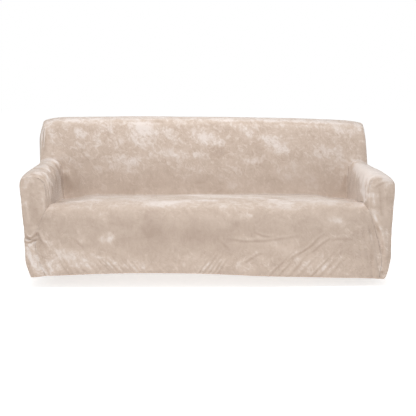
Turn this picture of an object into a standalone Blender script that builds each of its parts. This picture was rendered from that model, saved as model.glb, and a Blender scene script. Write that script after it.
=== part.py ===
"""A sofa slipcover of stretch velvet, with three seats and square arms, in the shape it takes when worn.

The cover is one skin of cloth, hollow and open underneath, sewn from nine panels: the seat with its front
apron, the inside back that wraps over the top, the outside back, two arm panels that run from the seat over
the arm and down the outside, two arm fronts and two strips at the sides of the back.

How it is built: a coarse cage is laid out on a lattice of named lines, Subdivision Surface rounds it, folds
and slack are pressed into it, and each panel is then cut from that one skin as a sheet of cloth of its own,
so that neighbours meet edge to edge along their seams.

Metres. Seen from the front, +X is to the right, +Y runs from the front to the back, +Z is up. Heights in the
tables are above the floor. The finished panels hang from an empty that moves the origin to the place where
the cover is carried, under the middle of its top.
"""

import math
from collections import namedtuple

import bmesh
import bpy
from mathutils import Vector, noise
from mathutils.geometry import intersect_point_line

# ---------------------------------------------------------------- driving dimensions
THICKNESS = 0.002  # plush velvet knit, pile and backing together
SEAM_GAP = 0.0003  # between two panels along a seam
MIDDLE_STRIP = 0.015  # cloth this close to the middle line counts as lying on it
SMOOTHING_LEVELS = 2

# Distance from the middle of the lines that run from front to back.
ACROSS = {
    "arm_outer": 1.022,
    "arm_crown": 0.948,
    "arm_inner": 0.868,
    "seat_end": 0.600,
    "seat_third": 0.290,
    "middle": 0.0,
}
# Distance behind the middle of the lines that run from side to side.
ALONG = {
    "front": -0.420,
    "crest": -0.330,
    "seat_middle": -0.090,
    "crevice": 0.130,
    "core": 0.270,
    "rear": 0.425,
}
# Height of the lines that run round the cover.
UP = {
    "hem": 0.075,
    "knee": 0.275,
    "seat": 0.440,
    "arm": 0.630,
    "shoulder": 0.770,
    "top": 0.880,
}

BACK_LEAN = 0.125  # how far the back's face leans from the seat to its top
REAR_LEAN = 0.035  # the same for the rear face, from the hem to the top
INNER_WALL_SPLAY = 0.018  # the arms stand this much further apart at the back than at the front

# The seat's height on each line from side to side: in the middle, and at its ends by the arms.
SeatLine = namedtuple("SeatLine", "middle end")
SEAT_PROFILE = {
    "front": SeatLine(0.448, 0.440),
    "crest": SeatLine(0.492, 0.478),
    "seat_middle": SeatLine(0.470, 0.470),
    "crevice": SeatLine(0.424, 0.428),
}
# How far the apron swells in front of the arm fronts at each level.
APRON_SWELL = {"hem": 0.018, "knee": 0.038, "seat": 0.034}

# What differs from left to right is given as a pair.
Pair = namedtuple("Pair", "left right")

# The seam between an arm front and the apron: its distance from the middle at each level.
FRONT_SEAM = {
    "seat": Pair(0.890, 0.884),
    "knee": Pair(0.972, 0.948),
    "hem": Pair(0.912, 0.985),
}
# The outsides of the arms lean in a little towards the floor.
ARM_SIDES = {
    "arm": Pair(1.028, 1.028),
    "seat": Pair(1.018, 1.024),
    "knee": Pair(1.010, 1.014),
    "hem": Pair(1.014, 1.022),
}
# The arm's round top: height of each line along it, above the arm level.
ARM_ROUND = {
    "arm_outer": Pair(0.004, -0.018),
    "arm_crown": Pair(0.022, 0.012),
    "arm_inner": Pair(0.000, -0.004),
}
ARM_NOSE_DROP = 0.014  # the arm's top falls this much at its front edge

# The back's sides draw in at the top and stand proud below, where the cloth is slack.
BACK_SIDES = {
    "arm": Pair(1.050, 1.032),
    "shoulder": Pair(1.054, 1.026),
    "top": Pair(1.028, 1.012),
}
SIDE_SEAM_INSET = 0.022  # the seam at the front of the back's side lies this far inside its fullest line

# The back's top, against the top level: the rise of the lines along it and of the lines over it.
TOP_SLOPE = {"crevice": 0.000, "core": 0.024, "rear": -0.004}
TOP_DROOP = {
    "middle": Pair(0.002, 0.002),
    "seat_third": Pair(0.006, -0.004),
    "seat_end": Pair(0.004, -0.010),
    "arm_inner": Pair(0.001, -0.018),
    "arm_crown": Pair(-0.004, -0.026),
    "arm_outer": Pair(-0.022, -0.040),
}

# The hem's height along the front, from the left corner to the right one, and its height elsewhere.
HemPoint = namedtuple("HemPoint", "across height")
FRONT_HEM = (
    HemPoint(-1.02, 0.063),
    HemPoint(-0.90, 0.073),
    HemPoint(-0.72, 0.083),
    HemPoint(-0.41, 0.096),
    HemPoint(0.00, 0.084),
    HemPoint(0.30, 0.068),
    HemPoint(0.62, 0.059),
    HemPoint(0.90, 0.054),
    HemPoint(1.02, 0.042),
)
REAR_HEM = 0.066

# The four corners are drawn in near the hem, by an amount that grows from a height down to the floor and from
# a distance from the middle out to the arm's outside.
CORNER_TUCK = 0.052
CORNER_TUCK_HEIGHT = 0.150
CORNER_TUCK_FROM = 0.820

COLUMNS = [(-1, line) for line in ACROSS]
COLUMNS += [(1, line) for line in reversed(ACROSS) if line != "middle"]
ROWS = list(ALONG)
LEVELS = list(UP)
ARM_CELLS = 2
CREVICE = ROWS.index("crevice")
SEAT_LEVEL = LEVELS.index("seat")
ARM_LEVEL = LEVELS.index("arm")

LEFT, RIGHT, FORWARD, BACKWARD, UPWARD = (-1, 0, 0), (1, 0, 0), (0, -1, 0), (0, 1, 0), (0, 0, 1)

PANELS = (
    "seat_and_apron",
    "inside_back",
    "outside_back",
    "arm_left",
    "arm_right",
    "arm_front_left",
    "arm_front_right",
    "back_side_left",
    "back_side_right",
)

# How round the edges are: 1 keeps an edge sharp, 0 lets it round off.
FLAT_ANGLE = math.radians(45)  # neighbours that turn by less than this lie flat beside each other
TUCK_CREASE = 0.9  # where the cloth is pushed down round the seat
FLAT_SEAM_CREASE = 1.0  # the seam between arm front and apron, which the swelling apron pulls taut
SEAM_CREASE = 0.45  # sewn outer edges
ARM_TOP_CREASE = 0.35  # the arm's outer top edge, with no seam
TOP_FRONT_CREASE = 0.30  # where the back's face rolls over its top, with no seam

# ---------------------------------------------------------------- folds
# Each fold is a soft ridge or trough on the cloth. It runs along the surface past three points, is widest in
# its middle and dies away at both ends. A negative rise is a trough.
Fold = namedtuple("Fold", "start middle end width rise")
FOLDS = (
    # pull lines that fan out from the low middle of the apron towards the seat's ends, on the left
    Fold((-0.20, -0.44, 0.11), (-0.25, -0.45, 0.17), (-0.33, -0.46, 0.23), 0.018, -0.005),
    Fold((-0.31, -0.44, 0.11), (-0.37, -0.45, 0.17), (-0.46, -0.46, 0.23), 0.020, -0.006),
    Fold((-0.42, -0.44, 0.11), (-0.49, -0.45, 0.17), (-0.58, -0.46, 0.24), 0.020, -0.006),
    Fold((-0.53, -0.44, 0.11), (-0.60, -0.45, 0.16), (-0.70, -0.45, 0.21), 0.020, -0.005),
    Fold((-0.64, -0.44, 0.10), (-0.71, -0.45, 0.14), (-0.80, -0.45, 0.18), 0.018, -0.004),
    # the same on the right
    Fold((-0.03, -0.44, 0.10), (0.01, -0.45, 0.16), (0.06, -0.46, 0.23), 0.018, -0.005),
    Fold((0.08, -0.44, 0.09), (0.13, -0.45, 0.16), (0.19, -0.46, 0.23), 0.020, -0.005),
    Fold((0.30, -0.44, 0.09), (0.40, -0.45, 0.16), (0.52, -0.46, 0.24), 0.022, -0.005),
    Fold((0.50, -0.44, 0.09), (0.60, -0.45, 0.17), (0.70, -0.46, 0.26), 0.022, -0.006),
    Fold((0.70, -0.44, 0.10), (0.78, -0.45, 0.16), (0.86, -0.45, 0.25), 0.020, -0.004),
    # one slack line across the apron
    Fold((0.12, -0.46, 0.275), (0.36, -0.46, 0.262), (0.62, -0.46, 0.270), 0.020, 0.005),
    # rolls of cloth along the back of the seat, where the rest is tucked in
    Fold((-0.80, 0.09, 0.44), (-0.52, 0.06, 0.45), (-0.20, 0.09, 0.44), 0.030, 0.007),
    Fold((-0.10, 0.08, 0.44), (0.22, 0.05, 0.45), (0.50, 0.09, 0.44), 0.030, 0.006),
    # slack gathered where the left arm front, the apron and the seat's end meet
    Fold((-1.01, -0.42, 0.335), (-0.97, -0.43, 0.290), (-0.93, -0.44, 0.345), 0.020, -0.008),
    Fold((-1.01, -0.42, 0.285), (-0.96, -0.43, 0.250), (-0.91, -0.44, 0.300), 0.020, 0.008),
    Fold((-0.97, -0.42, 0.240), (-0.95, -0.42, 0.170), (-0.93, -0.42, 0.100), 0.016, -0.006),
    # cloth hanging loosely down the foot of the right arm
    Fold((0.90, -0.43, 0.400), (0.93, -0.42, 0.300), (0.96, -0.42, 0.180), 0.018, -0.007),
    Fold((0.95, -0.42, 0.420), (0.97, -0.42, 0.320), (0.99, -0.42, 0.200), 0.018, 0.006),
    # crescents over the left arm and down its inner wall
    Fold((-0.99, -0.36, 0.61), (-0.92, -0.33, 0.645), (-0.87, -0.30, 0.56), 0.024, 0.006),
    Fold((-0.97, -0.22, 0.64), (-0.90, -0.19, 0.635), (-0.87, -0.16, 0.54), 0.026, -0.008),
    Fold((-0.96, -0.10, 0.64), (-0.90, -0.06, 0.635), (-0.87, -0.03, 0.53), 0.026, 0.008),
    Fold((-0.95, 0.03, 0.64), (-0.90, 0.07, 0.635), (-0.88, 0.09, 0.54), 0.024, -0.008),
    # one broad crescent over the right arm
    Fold((1.00, -0.20, 0.61), (0.93, -0.24, 0.645), (0.87, -0.30, 0.53), 0.030, 0.008),
    Fold((0.99, -0.05, 0.63), (0.93, -0.08, 0.645), (0.87, -0.12, 0.54), 0.026, -0.006),
    # slack at the left end of the back, above the arm
    Fold((-1.03, 0.22, 0.84), (-1.03, 0.21, 0.75), (-1.03, 0.20, 0.67), 0.020, -0.009),
    Fold((-1.00, 0.18, 0.685), (-0.93, 0.18, 0.675), (-0.84, 0.18, 0.655), 0.018, 0.007),
    Fold((-0.90, 0.16, 0.640), (-0.85, 0.16, 0.600), (-0.83, 0.15, 0.540), 0.020, -0.007),
    # pull lines on the outside of each arm, from the corner of the back to the foot
    Fold((-1.02, 0.12, 0.56), (-1.02, -0.06, 0.38), (-1.01, -0.26, 0.16), 0.035, -0.007),
    Fold((-1.02, 0.24, 0.50), (-1.02, 0.16, 0.32), (-1.01, 0.02, 0.13), 0.035, -0.006),
    Fold((1.02, 0.12, 0.56), (1.02, -0.04, 0.37), (1.01, -0.22, 0.16), 0.035, -0.007),
    Fold((1.02, 0.26, 0.50), (1.02, 0.20, 0.32), (1.01, 0.10, 0.13), 0.035, -0.006),
    # shallow pull lines on the outside back
    Fold((-0.86, 0.45, 0.80), (-0.62, 0.45, 0.52), (-0.50, 0.44, 0.14), 0.050, -0.008),
    Fold((0.86, 0.45, 0.80), (0.64, 0.45, 0.50), (0.55, 0.44, 0.14), 0.050, -0.008),
    Fold((-0.10, 0.45, 0.20), (-0.04, 0.45, 0.45), (0.06, 0.45, 0.74), 0.060, -0.006),
)
FOLD_STEPS = 12  # straight pieces that stand for a fold's curve
FOLD_REACH = 0.035  # a fold only moves cloth that lies within this height of its curve
FOLD_TIP = 0.04  # share of a fold at each end where it is lowest
FOLD_FULLNESS = 0.6  # below 1 a fold keeps its height for longer before it dies away
MITRE_LIMIT = 2.0  # the cloth's inner face steps in by at most this many thicknesses at an edge
PLAIN_BACK_MERGES = 2  # how often faces are merged on the plain outside back
FINE_ROUNDING = 0.5  # how far the finer mesh follows the skin's curve
SHARP_ANGLE = math.radians(50)  # the cloth's cut edges are shaded sharp

# Slack that no single fold explains: slow waves in the cloth.
SLACK_SIZE = 0.26
SLACK_RISE = 0.0035

# Where folds lie close the mesh is cut once more: between two heights, up to a depth and a distance from the
# middle. The cut crosses the edges that run along the axes named.
Fine = namedtuple("Fine", "panel lowest highest before within axes")
FINE_MESH = (
    Fine("seat_and_apron", 0.08, 0.30, 0.00, 1.00, "xz"),
    Fine("arm_front_left", 0.08, 0.42, 0.00, 1.10, "z"),
    Fine("arm_front_right", 0.12, 0.45, 0.00, 1.10, "z"),
    Fine("arm_left", 0.48, 0.70, 0.12, 0.99, "y"),
    Fine("arm_right", 0.48, 0.70, 0.02, 0.99, "y"),
)


# ---------------------------------------------------------------- the cage
def between(rows, key, value, at):
    """The value at a place between the rows of a table, read along straight lines."""
    first = rows[0]
    if at <= key(first):
        return value(first)
    for row in rows[1:]:
        if at <= key(row):
            share = (at - key(first)) / (key(row) - key(first))
            return value(first) + share * (value(row) - value(first))
        first = row
    return value(first)


def on_side(pair, side):
    """The entry of a pair for the left side (-1) or the right one (1)."""
    return pair.left if side < 0 else pair.right


def covers_cell(i, j, k):
    """Whether this cell of the lattice lies inside the cover."""
    if not (0 <= i < len(COLUMNS) - 1 and 0 <= j < len(ROWS) - 1 and 0 <= k < len(LEVELS) - 1):
        return False
    in_arm = i < ARM_CELLS or i >= len(COLUMNS) - 1 - ARM_CELLS
    in_back = j >= CREVICE
    return k < SEAT_LEVEL or in_back or (in_arm and k < ARM_LEVEL)


def across_at(side, line, row, level):
    """Distance from the middle of a lattice point."""
    on_back = ROWS.index(row) >= CREVICE and LEVELS.index(level) >= ARM_LEVEL
    if line == "arm_outer" and on_back:
        return on_side(BACK_SIDES[level], side) - (SIDE_SEAM_INSET if row == "crevice" else 0.0)
    if line == "arm_outer":
        return on_side(ARM_SIDES[level], side)
    if row == "front" and level in FRONT_SEAM and line in ("arm_inner", "arm_crown"):
        seam = on_side(FRONT_SEAM[level], side)
        return seam if line == "arm_inner" else (seam + on_side(ARM_SIDES[level], side)) / 2
    if line == "arm_inner" and level in ("seat", "arm"):
        share = (ALONG[row] - ALONG["front"]) / (ALONG["crevice"] - ALONG["front"])
        return ACROSS[line] + INNER_WALL_SPLAY * min(share, 1.0)
    return ACROSS[line]


def along_at(line, row, level):
    """Distance behind the middle of a lattice point."""
    face = ALONG["crevice"]
    if LEVELS.index(level) >= ARM_LEVEL:
        face += BACK_LEAN * (UP[level] - UP["seat"]) / (UP["top"] - UP["seat"])
    rear = ALONG["rear"] + REAR_LEAN * UP[level] / UP["top"]
    if row == "crevice":
        return face
    if row == "core":
        return (face + rear) / 2
    if row == "rear":
        return rear
    if row == "front" and line not in ARM_ROUND:
        return ALONG["front"] - APRON_SWELL.get(level, 0.0)
    return ALONG[row]


def height_at(side, line, row, level, across):
    """Height above the floor of a lattice point."""
    before_back = ROWS.index(row) <= CREVICE
    if level == "hem":
        if row != "front":
            return REAR_HEM
        return between(FRONT_HEM, lambda p: p.across, lambda p: p.height, side * across)
    if level == "seat" and before_back and line not in ("arm_outer", "arm_crown"):
        return SEAT_PROFILE[row].end if line == "arm_inner" else SEAT_PROFILE[row].middle
    if level == "arm" and before_back and line in ARM_ROUND:
        return UP["arm"] + on_side(ARM_ROUND[line], side) - (ARM_NOSE_DROP if row == "front" else 0.0)
    if level == "top":
        return UP["top"] + TOP_SLOPE[row] + on_side(TOP_DROOP[line], side)
    return UP[level]


def lattice_point(i, j, k):
    """Where the cage holds the lattice point (i, j, k)."""
    side, line = COLUMNS[i]
    row, level = ROWS[j], LEVELS[k]
    across = across_at(side, line, row, level)
    return Vector((side * across, along_at(line, row, level), height_at(side, line, row, level, across)))


def panel_at(i, j, k, facing):
    """The panel that covers this side of a cell."""
    hand = "left" if i < (len(COLUMNS) - 1) / 2 else "right"
    in_arm = i < ARM_CELLS or i >= len(COLUMNS) - 1 - ARM_CELLS
    in_back = j >= CREVICE
    if facing == BACKWARD:
        return "outside_back"
    if facing in (LEFT, RIGHT):
        return f"back_side_{hand}" if k >= ARM_LEVEL else f"arm_{hand}"
    if in_back:
        return "inside_back"
    if not in_arm:
        return "seat_and_apron"
    return f"arm_front_{hand}" if facing == FORWARD else f"arm_{hand}"


def corners_of(i, j, k, facing):
    """The lattice points round one side of a cell, anticlockwise as seen from outside."""
    axis = next(a for a in range(3) if facing[a])
    first, second = [a for a in range(3) if a != axis]
    if (facing[axis] > 0) == (axis == 1):
        first, second = second, first
    ring = []
    for step_first, step_second in ((0, 0), (1, 0), (1, 1), (0, 1)):
        point = [i, j, k]
        point[axis] += max(facing[axis], 0)
        point[first] += step_first
        point[second] += step_second
        ring.append(tuple(point))
    return ring


def build_cage():
    """The cover as a coarse mesh, each face marked with its panel, its edges creased."""
    cage = bmesh.new()
    crease = cage.edges.layers.float.new("crease_edge")
    points = {}
    for i in range(len(COLUMNS) - 1):
        for j in range(len(ROWS) - 1):
            for k in range(len(LEVELS) - 1):
                for facing in (LEFT, RIGHT, FORWARD, BACKWARD, UPWARD):
                    beyond = (i + facing[0], j + facing[1], k + facing[2])
                    if not covers_cell(i, j, k) or covers_cell(*beyond):
                        continue
                    ring = corners_of(i, j, k, facing)
                    for at in ring:
                        if at not in points:
                            points[at] = cage.verts.new(lattice_point(*at))
                    face = cage.faces.new([points[at] for at in ring])
                    face.material_index = PANELS.index(panel_at(i, j, k, facing))
    cage.normal_update()
    for edge in cage.edges:
        if not edge.is_boundary:
            edge[crease] = crease_of(edge)
    return cage


def crease_of(edge):
    """How sharp a cage edge stays: tucks most, sewn edges less, the back's front top edge least."""
    one, other = edge.link_faces
    names = {PANELS[f.material_index] for f in (one, other)}
    sewn = len(names) == 2
    if one.normal.angle(other.normal) < FLAT_ANGLE:
        return FLAT_SEAM_CREASE if sewn and "seat_and_apron" in names else 0.0
    if (other.calc_center_median() - one.calc_center_median()).dot(one.normal) > 0:
        return TUCK_CREASE
    if sewn:
        return SEAM_CREASE
    if names == {"inside_back"}:
        return TOP_FRONT_CREASE
    at_outer_side = abs(edge.verts[0].co.x) > ACROSS["arm_crown"]
    return ARM_TOP_CREASE if at_outer_side else 0.0


# ---------------------------------------------------------------- the skin
def rounded(cage):
    """The cage after Subdivision Surface, as a bmesh. The helper object is removed again."""
    mesh = bpy.data.meshes.new("cage")
    cage.to_mesh(mesh)
    for _ in PANELS:
        mesh.materials.append(None)  # a slot for each panel, so that the faces keep their panel's number
    helper = bpy.data.objects.new("cage", mesh)
    bpy.context.scene.collection.objects.link(helper)
    smooth = helper.modifiers.new("round", "SUBSURF")
    smooth.levels = smooth.render_levels = SMOOTHING_LEVELS
    skin = bmesh.new()
    skin.from_object(helper, bpy.context.evaluated_depsgraph_get())
    bpy.data.objects.remove(helper)
    bpy.data.meshes.remove(mesh)
    return skin


def main_axis(edge):
    """The axis that an edge runs along most."""
    run = edge.verts[1].co - edge.verts[0].co
    return max("xyz", key=lambda axis: abs(getattr(run, axis)))


def refine(skin):
    """Cuts the faces that carry close folds once more."""
    edges = set()
    for fine in FINE_MESH:
        for face in skin.faces:
            at = face.calc_center_median()
            inside = fine.lowest < at.z < fine.highest and at.y < fine.before and abs(at.x) < fine.within
            if inside and PANELS[face.material_index] == fine.panel:
                edges.update(edge for edge in face.edges if main_axis(edge) in fine.axes)
    bmesh.ops.subdivide_edges(skin, edges=list(edges), cuts=1, use_grid_fill=True, smooth=FINE_ROUNDING)


def coarsen_back(skin):
    """Merges faces on the plain outside back, away from its seams."""
    back = PANELS.index("outside_back")
    plain = [v for v in skin.verts if all(f.material_index == back for f in v.link_faces)]
    bmesh.ops.unsubdivide(skin, verts=plain, iterations=PLAIN_BACK_MERGES)


def draw_in_corners(skin):
    """Pulls the bottom of the four corners inwards, as an elastic hem does."""
    for vertex in skin.verts:
        low = 1.0 - min(vertex.co.z / CORNER_TUCK_HEIGHT, 1.0)
        far = (abs(vertex.co.x) - CORNER_TUCK_FROM) / (ACROSS["arm_outer"] - CORNER_TUCK_FROM)
        pull = CORNER_TUCK * low * min(max(far, 0.0), 1.0)
        vertex.co.x -= math.copysign(pull, vertex.co.x)


def fold_line(fold):
    """Points along a fold: a smooth curve past its three points."""
    start, middle, end = (Vector(p) for p in (fold.start, fold.middle, fold.end))
    pull = 2 * middle - (start + end) / 2
    line = []
    for step in range(FOLD_STEPS + 1):
        t = step / FOLD_STEPS
        line.append((1 - t) ** 2 * start + 2 * t * (1 - t) * pull + t**2 * end)
    return line


def rise_from(fold, line, place, normal):
    """How far a fold lifts the cloth at a place."""
    nearest, share = None, 0.0
    for step in range(FOLD_STEPS):
        foot, along = intersect_point_line(place, line[step], line[step + 1])
        along = min(max(along, 0.0), 1.0)
        gap = place - line[step].lerp(line[step + 1], along)
        beside = gap - gap.dot(normal) * normal
        if nearest is None or beside.length < nearest.length:
            nearest, share = beside, (step + along) / FOLD_STEPS
            height = abs(gap.dot(normal))
    if height > FOLD_REACH:
        return 0.0
    fade = math.sin(math.pi * min(max(share, FOLD_TIP), 1.0 - FOLD_TIP)) ** FOLD_FULLNESS
    return fold.rise * fade * math.exp(-((nearest.length / fold.width) ** 2))


def press_folds(skin):
    """Moves the skin in and out by its folds and by slow waves of slack."""
    skin.normal_update()
    lines = [(fold, fold_line(fold)) for fold in FOLDS]
    moves = []
    for vertex in skin.verts:
        rise = SLACK_RISE * noise.noise(vertex.co / SLACK_SIZE)
        rise += sum(rise_from(fold, line, vertex.co, vertex.normal) for fold, line in lines)
        moves.append(vertex.normal * rise)
    for vertex, move in zip(skin.verts, moves):
        vertex.co += move


# ---------------------------------------------------------------- the panels
def ease_from_seams(seam_edges):
    """For each vertex on a seam, the small move that draws the panel back from its neighbour."""
    ease = {}
    for edge in seam_edges:
        face = edge.link_faces[0]
        one, other = edge.verts
        inward = face.normal.cross(other.co - one.co).normalized()
        if inward.dot(face.calc_center_median() - one.co) < 0:
            inward.negate()
        for vertex in edge.verts:
            ease[vertex] = ease.get(vertex, Vector()) + inward
    for vertex, inward in ease.items():
        ease[vertex] = inward.normalized() * SEAM_GAP / 2
    return ease


def cut_panel(skin, number):
    """One panel as a closed sheet: its share of the skin, the same again one thickness in, and its edges."""
    panel = skin.copy()
    inside = panel.verts.layers.float_vector.new("inside")
    for vertex in panel.verts:
        step = THICKNESS * min(vertex.calc_shell_factor(), MITRE_LIMIT)
        vertex[inside] = vertex.co - vertex.normal * step
    place = panel.verts.layers.int.new("place")
    for vertex in panel.verts:
        vertex[place] = vertex.index
    hem = panel.edges.layers.int.new("hem")
    for edge in panel.edges:
        edge[hem] = edge.is_boundary
    others = [f for f in panel.faces if f.material_index != number]
    bmesh.ops.delete(panel, geom=others, context="FACES")

    edges = [e for e in panel.edges if e.is_boundary]
    ease = ease_from_seams([e for e in edges if not e[hem]])
    outer = list(panel.verts)
    under = {v: panel.verts.new(v[inside] + ease.get(v, Vector())) for v in outer}
    for vertex, move in ease.items():
        vertex.co += move
    for face in list(panel.faces):
        panel.faces.new([under[v] for v in reversed(face.verts)])
    for edge in edges:
        loop = edge.link_loops[0]
        one, other = loop.vert, loop.link_loop_next.vert
        ring = [other, one, under[one], under[other]]
        if one[place] < other[place]:
            ring = ring[1:] + ring[:1]  # both panels at a seam split their twisted edge faces the same way
        panel.faces.new(ring)
    return panel


def velvet(name):
    """Beige plush velvet: soft, rough and pale."""
    material = bpy.data.materials.new(name)
    material.use_nodes = True
    shader = material.node_tree.nodes["Principled BSDF"]
    shader.inputs["Base Color"].default_value = (0.60, 0.48, 0.39, 1)
    shader.inputs["Roughness"].default_value = 0.9
    shader.inputs["Metallic"].default_value = 0.0
    shader.inputs["Sheen Weight"].default_value = 0.4
    return material


def carried_at(skin):
    """Where the cover is carried: the underside of its top, on the middle line."""
    middle = [v for v in skin.verts if abs(v.co.x) < MIDDLE_STRIP]
    highest = max(middle, key=lambda v: v.co.z)
    return Vector((0.0, highest.co.y, highest.co.z - THICKNESS))


def add_panel(mesh, name, collection, carrier):
    """Makes a panel's mesh into an object of its own with its own velvet."""
    mesh.materials.append(velvet(name))
    for polygon in mesh.polygons:
        polygon.material_index = 0
    mesh.shade_smooth()
    mesh.set_sharp_from_angle(angle=SHARP_ANGLE)
    panel = bpy.data.objects.new(name, mesh)
    panel.parent = carrier
    collection.objects.link(panel)


def build():
    for old in list(bpy.data.objects):
        bpy.data.objects.remove(old)
    skin = rounded(build_cage())
    refine(skin)
    coarsen_back(skin)
    draw_in_corners(skin)
    press_folds(skin)
    bmesh.ops.triangulate(skin, faces=skin.faces)
    skin.normal_update()

    cover = bpy.data.collections.new("sofa_slipcover")
    bpy.context.scene.collection.children.link(cover)
    carrier = bpy.data.objects.new("carried_under_its_top", None)
    carrier.location = -carried_at(skin)
    cover.objects.link(carrier)
    for number, name in enumerate(PANELS):
        mesh = bpy.data.meshes.new(name)
        cut_panel(skin, number).to_mesh(mesh)
        add_panel(mesh, name, cover, carrier)


build()
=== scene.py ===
# %% [markdown]
# # A sofa slipcover in crushed plush velvet
# A stretch slipcover is a fitted cover of knitted velvet. It is cut in nine panels, sewn
# edge to edge, and pulled on like a glove, so it shows the seat, arms and back under it,
# softened by the cloth. This script dresses the plain model of the cover: it takes the
# plain panels as a base, makes one fine skin of them, presses the folds into that skin,
# and cuts it into panels again. The first cell loads the plain model.

# %% Load the plain model
import math
import time
from collections import namedtuple
from itertools import product

import bpy
import bmesh
import numpy as np
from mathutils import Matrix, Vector
from mathutils.bvhtree import BVHTree
from mathutils.kdtree import KDTree


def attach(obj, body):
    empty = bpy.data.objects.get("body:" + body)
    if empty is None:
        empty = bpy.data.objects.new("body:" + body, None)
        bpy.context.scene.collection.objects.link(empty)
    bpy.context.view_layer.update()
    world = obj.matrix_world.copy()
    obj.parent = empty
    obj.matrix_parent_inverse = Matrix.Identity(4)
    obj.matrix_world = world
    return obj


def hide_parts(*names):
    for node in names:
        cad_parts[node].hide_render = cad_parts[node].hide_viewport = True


started = time.time()
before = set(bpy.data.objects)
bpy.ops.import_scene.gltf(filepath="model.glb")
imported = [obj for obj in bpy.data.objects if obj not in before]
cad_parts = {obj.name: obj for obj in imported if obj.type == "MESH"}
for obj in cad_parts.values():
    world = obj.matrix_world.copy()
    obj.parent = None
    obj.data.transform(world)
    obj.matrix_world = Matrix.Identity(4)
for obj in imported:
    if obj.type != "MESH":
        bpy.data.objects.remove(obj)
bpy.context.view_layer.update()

# %% [markdown]
# ## One skin from nine panels
# Each plain panel is a slab of cloth 2 mm thick: an outer face, an inner face, and a
# narrow rim all round. Folds have to run on over the seams without a step, so the work
# is done on the outer faces alone, sewn into one skin. Shaping each panel by itself
# would be simpler, but the edges of two neighbours would no longer meet.

# %% Name the panels
HOLLOW_INSIDE = {        # a point of the hollow that each panel wraps
    "seat_and_apron": (0, -0.40, -0.60),
    "inside_back": (0, 0.00, -0.35),
    "outside_back": (0, 0.00, -0.45),
    "arm_left": (-0.95, -0.40, -0.50),
    "arm_right": (0.95, -0.40, -0.50),
    "arm_front_left": (-0.95, -0.50, -0.50),
    "arm_front_right": (0.95, -0.50, -0.50),
    "back_side_left": (-0.60, 0.00, -0.15),
    "back_side_right": (0.60, 0.00, -0.15),
}
PANELS = list(HOLLOW_INSIDE)
RIM_WIDTH = 0.0035       # an edge shorter than this runs across a slab's rim
SEAM_REACH = 0.0006      # the panels' edges lie about 0.3 mm apart
SAME_CORNER = 1e-5       # corners closer than this are one corner
print(len(PANELS), "panels")

# %% [markdown]
# The rim goes first: its triangles are the only ones with an edge as short as the cloth
# is thick. That leaves two sheets that don't touch. The outer one is the one that faces
# away from the hollow that the panel wraps.

# %% Take a panel's outer sheet
def connected_parts(mesh):
    """The groups of faces of an edit mesh that hang together."""
    waiting, parts = set(mesh.faces), []
    while waiting:
        part = [waiting.pop()]
        for face in part:
            for neighbour in {f for edge in face.edges for f in edge.link_faces}:
                if neighbour in waiting:
                    waiting.remove(neighbour)
                    part.append(neighbour)
        parts.append(part)
    return parts


def faces_away(part, hollow):
    """True if a sheet as a whole looks away from the hollow."""
    return sum((face.calc_center_median() - Vector(hollow)).dot(face.normal)
               * face.calc_area() for face in part) > 0


def outer_sheet(node, number):
    """The outer face of a plain panel, as an edit mesh marked with the panel's number."""
    sheet = bmesh.new()
    sheet.from_mesh(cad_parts[node].data)
    bmesh.ops.remove_doubles(sheet, verts=sheet.verts, dist=SAME_CORNER)
    rim = [f for f in sheet.faces if min(e.calc_length() for e in f.edges) < RIM_WIDTH]
    bmesh.ops.delete(sheet, geom=rim, context="FACES")
    inner = [face for part in connected_parts(sheet)
             if not faces_away(part, HOLLOW_INSIDE[node]) for face in part]
    bmesh.ops.delete(sheet, geom=inner, context="FACES")
    for face in sheet.faces:
        face.material_index = number
        face.smooth = True
    return sheet


trial = outer_sheet("back_side_left", 0)
print("one small panel:", len(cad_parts["back_side_left"].data.polygons),
      "triangles as a slab,", len(trial.faces), "in its outer sheet")
trial.free()

# %% [markdown]
# ## Sew the sheets together
# The sheets go into one edit mesh and their edges are merged. Most of the triangles are
# halves of four-sided faces, and those bend more smoothly, so they are joined again
# wherever both halves belong to the same panel.

# %% Sew the skin
FLAT_ENOUGH = math.radians(50)   # halves of a face that differ more stay apart


def sew_sheets():
    """All the outer sheets as one edit mesh."""
    skin = bmesh.new()
    for number, node in enumerate(PANELS):
        sheet = outer_sheet(node, number)
        piece = bpy.data.meshes.new(node + "_sheet")
        sheet.to_mesh(piece)
        sheet.free()
        skin.from_mesh(piece)
        bpy.data.meshes.remove(piece)
    bmesh.ops.remove_doubles(skin, verts=skin.verts, dist=SEAM_REACH)
    bmesh.ops.join_triangles(
        skin,
        faces=skin.faces,
        cmp_materials=True,
        angle_face_threshold=FLAT_ENOUGH,
        angle_shape_threshold=FLAT_ENOUGH,
    )
    return skin


def is_seam(edge):
    """True for an edge between two panels."""
    return len({face.material_index for face in edge.link_faces}) > 1


coarse = sew_sheets()
print("skin:", len(coarse.faces), "faces,", sum(map(is_seam, coarse.edges)), "seam edges,",
      sum(edge.is_boundary for edge in coarse.edges), "hem edges")

# %% [markdown]
# ## Round the skin
# A Subdivision Surface rounds the skin and makes its faces four times as many at each
# level. The seams between panels are where the cloth turns a corner, so they get a
# crease, which keeps them from being rounded away. Two levels are enough for the form. A
# third would cost too many faces on the rear, where nothing needs them.

# %% Round the skin
SEAM_SHARPNESS = 0.55
ROUNDING_LEVELS = 2


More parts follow.
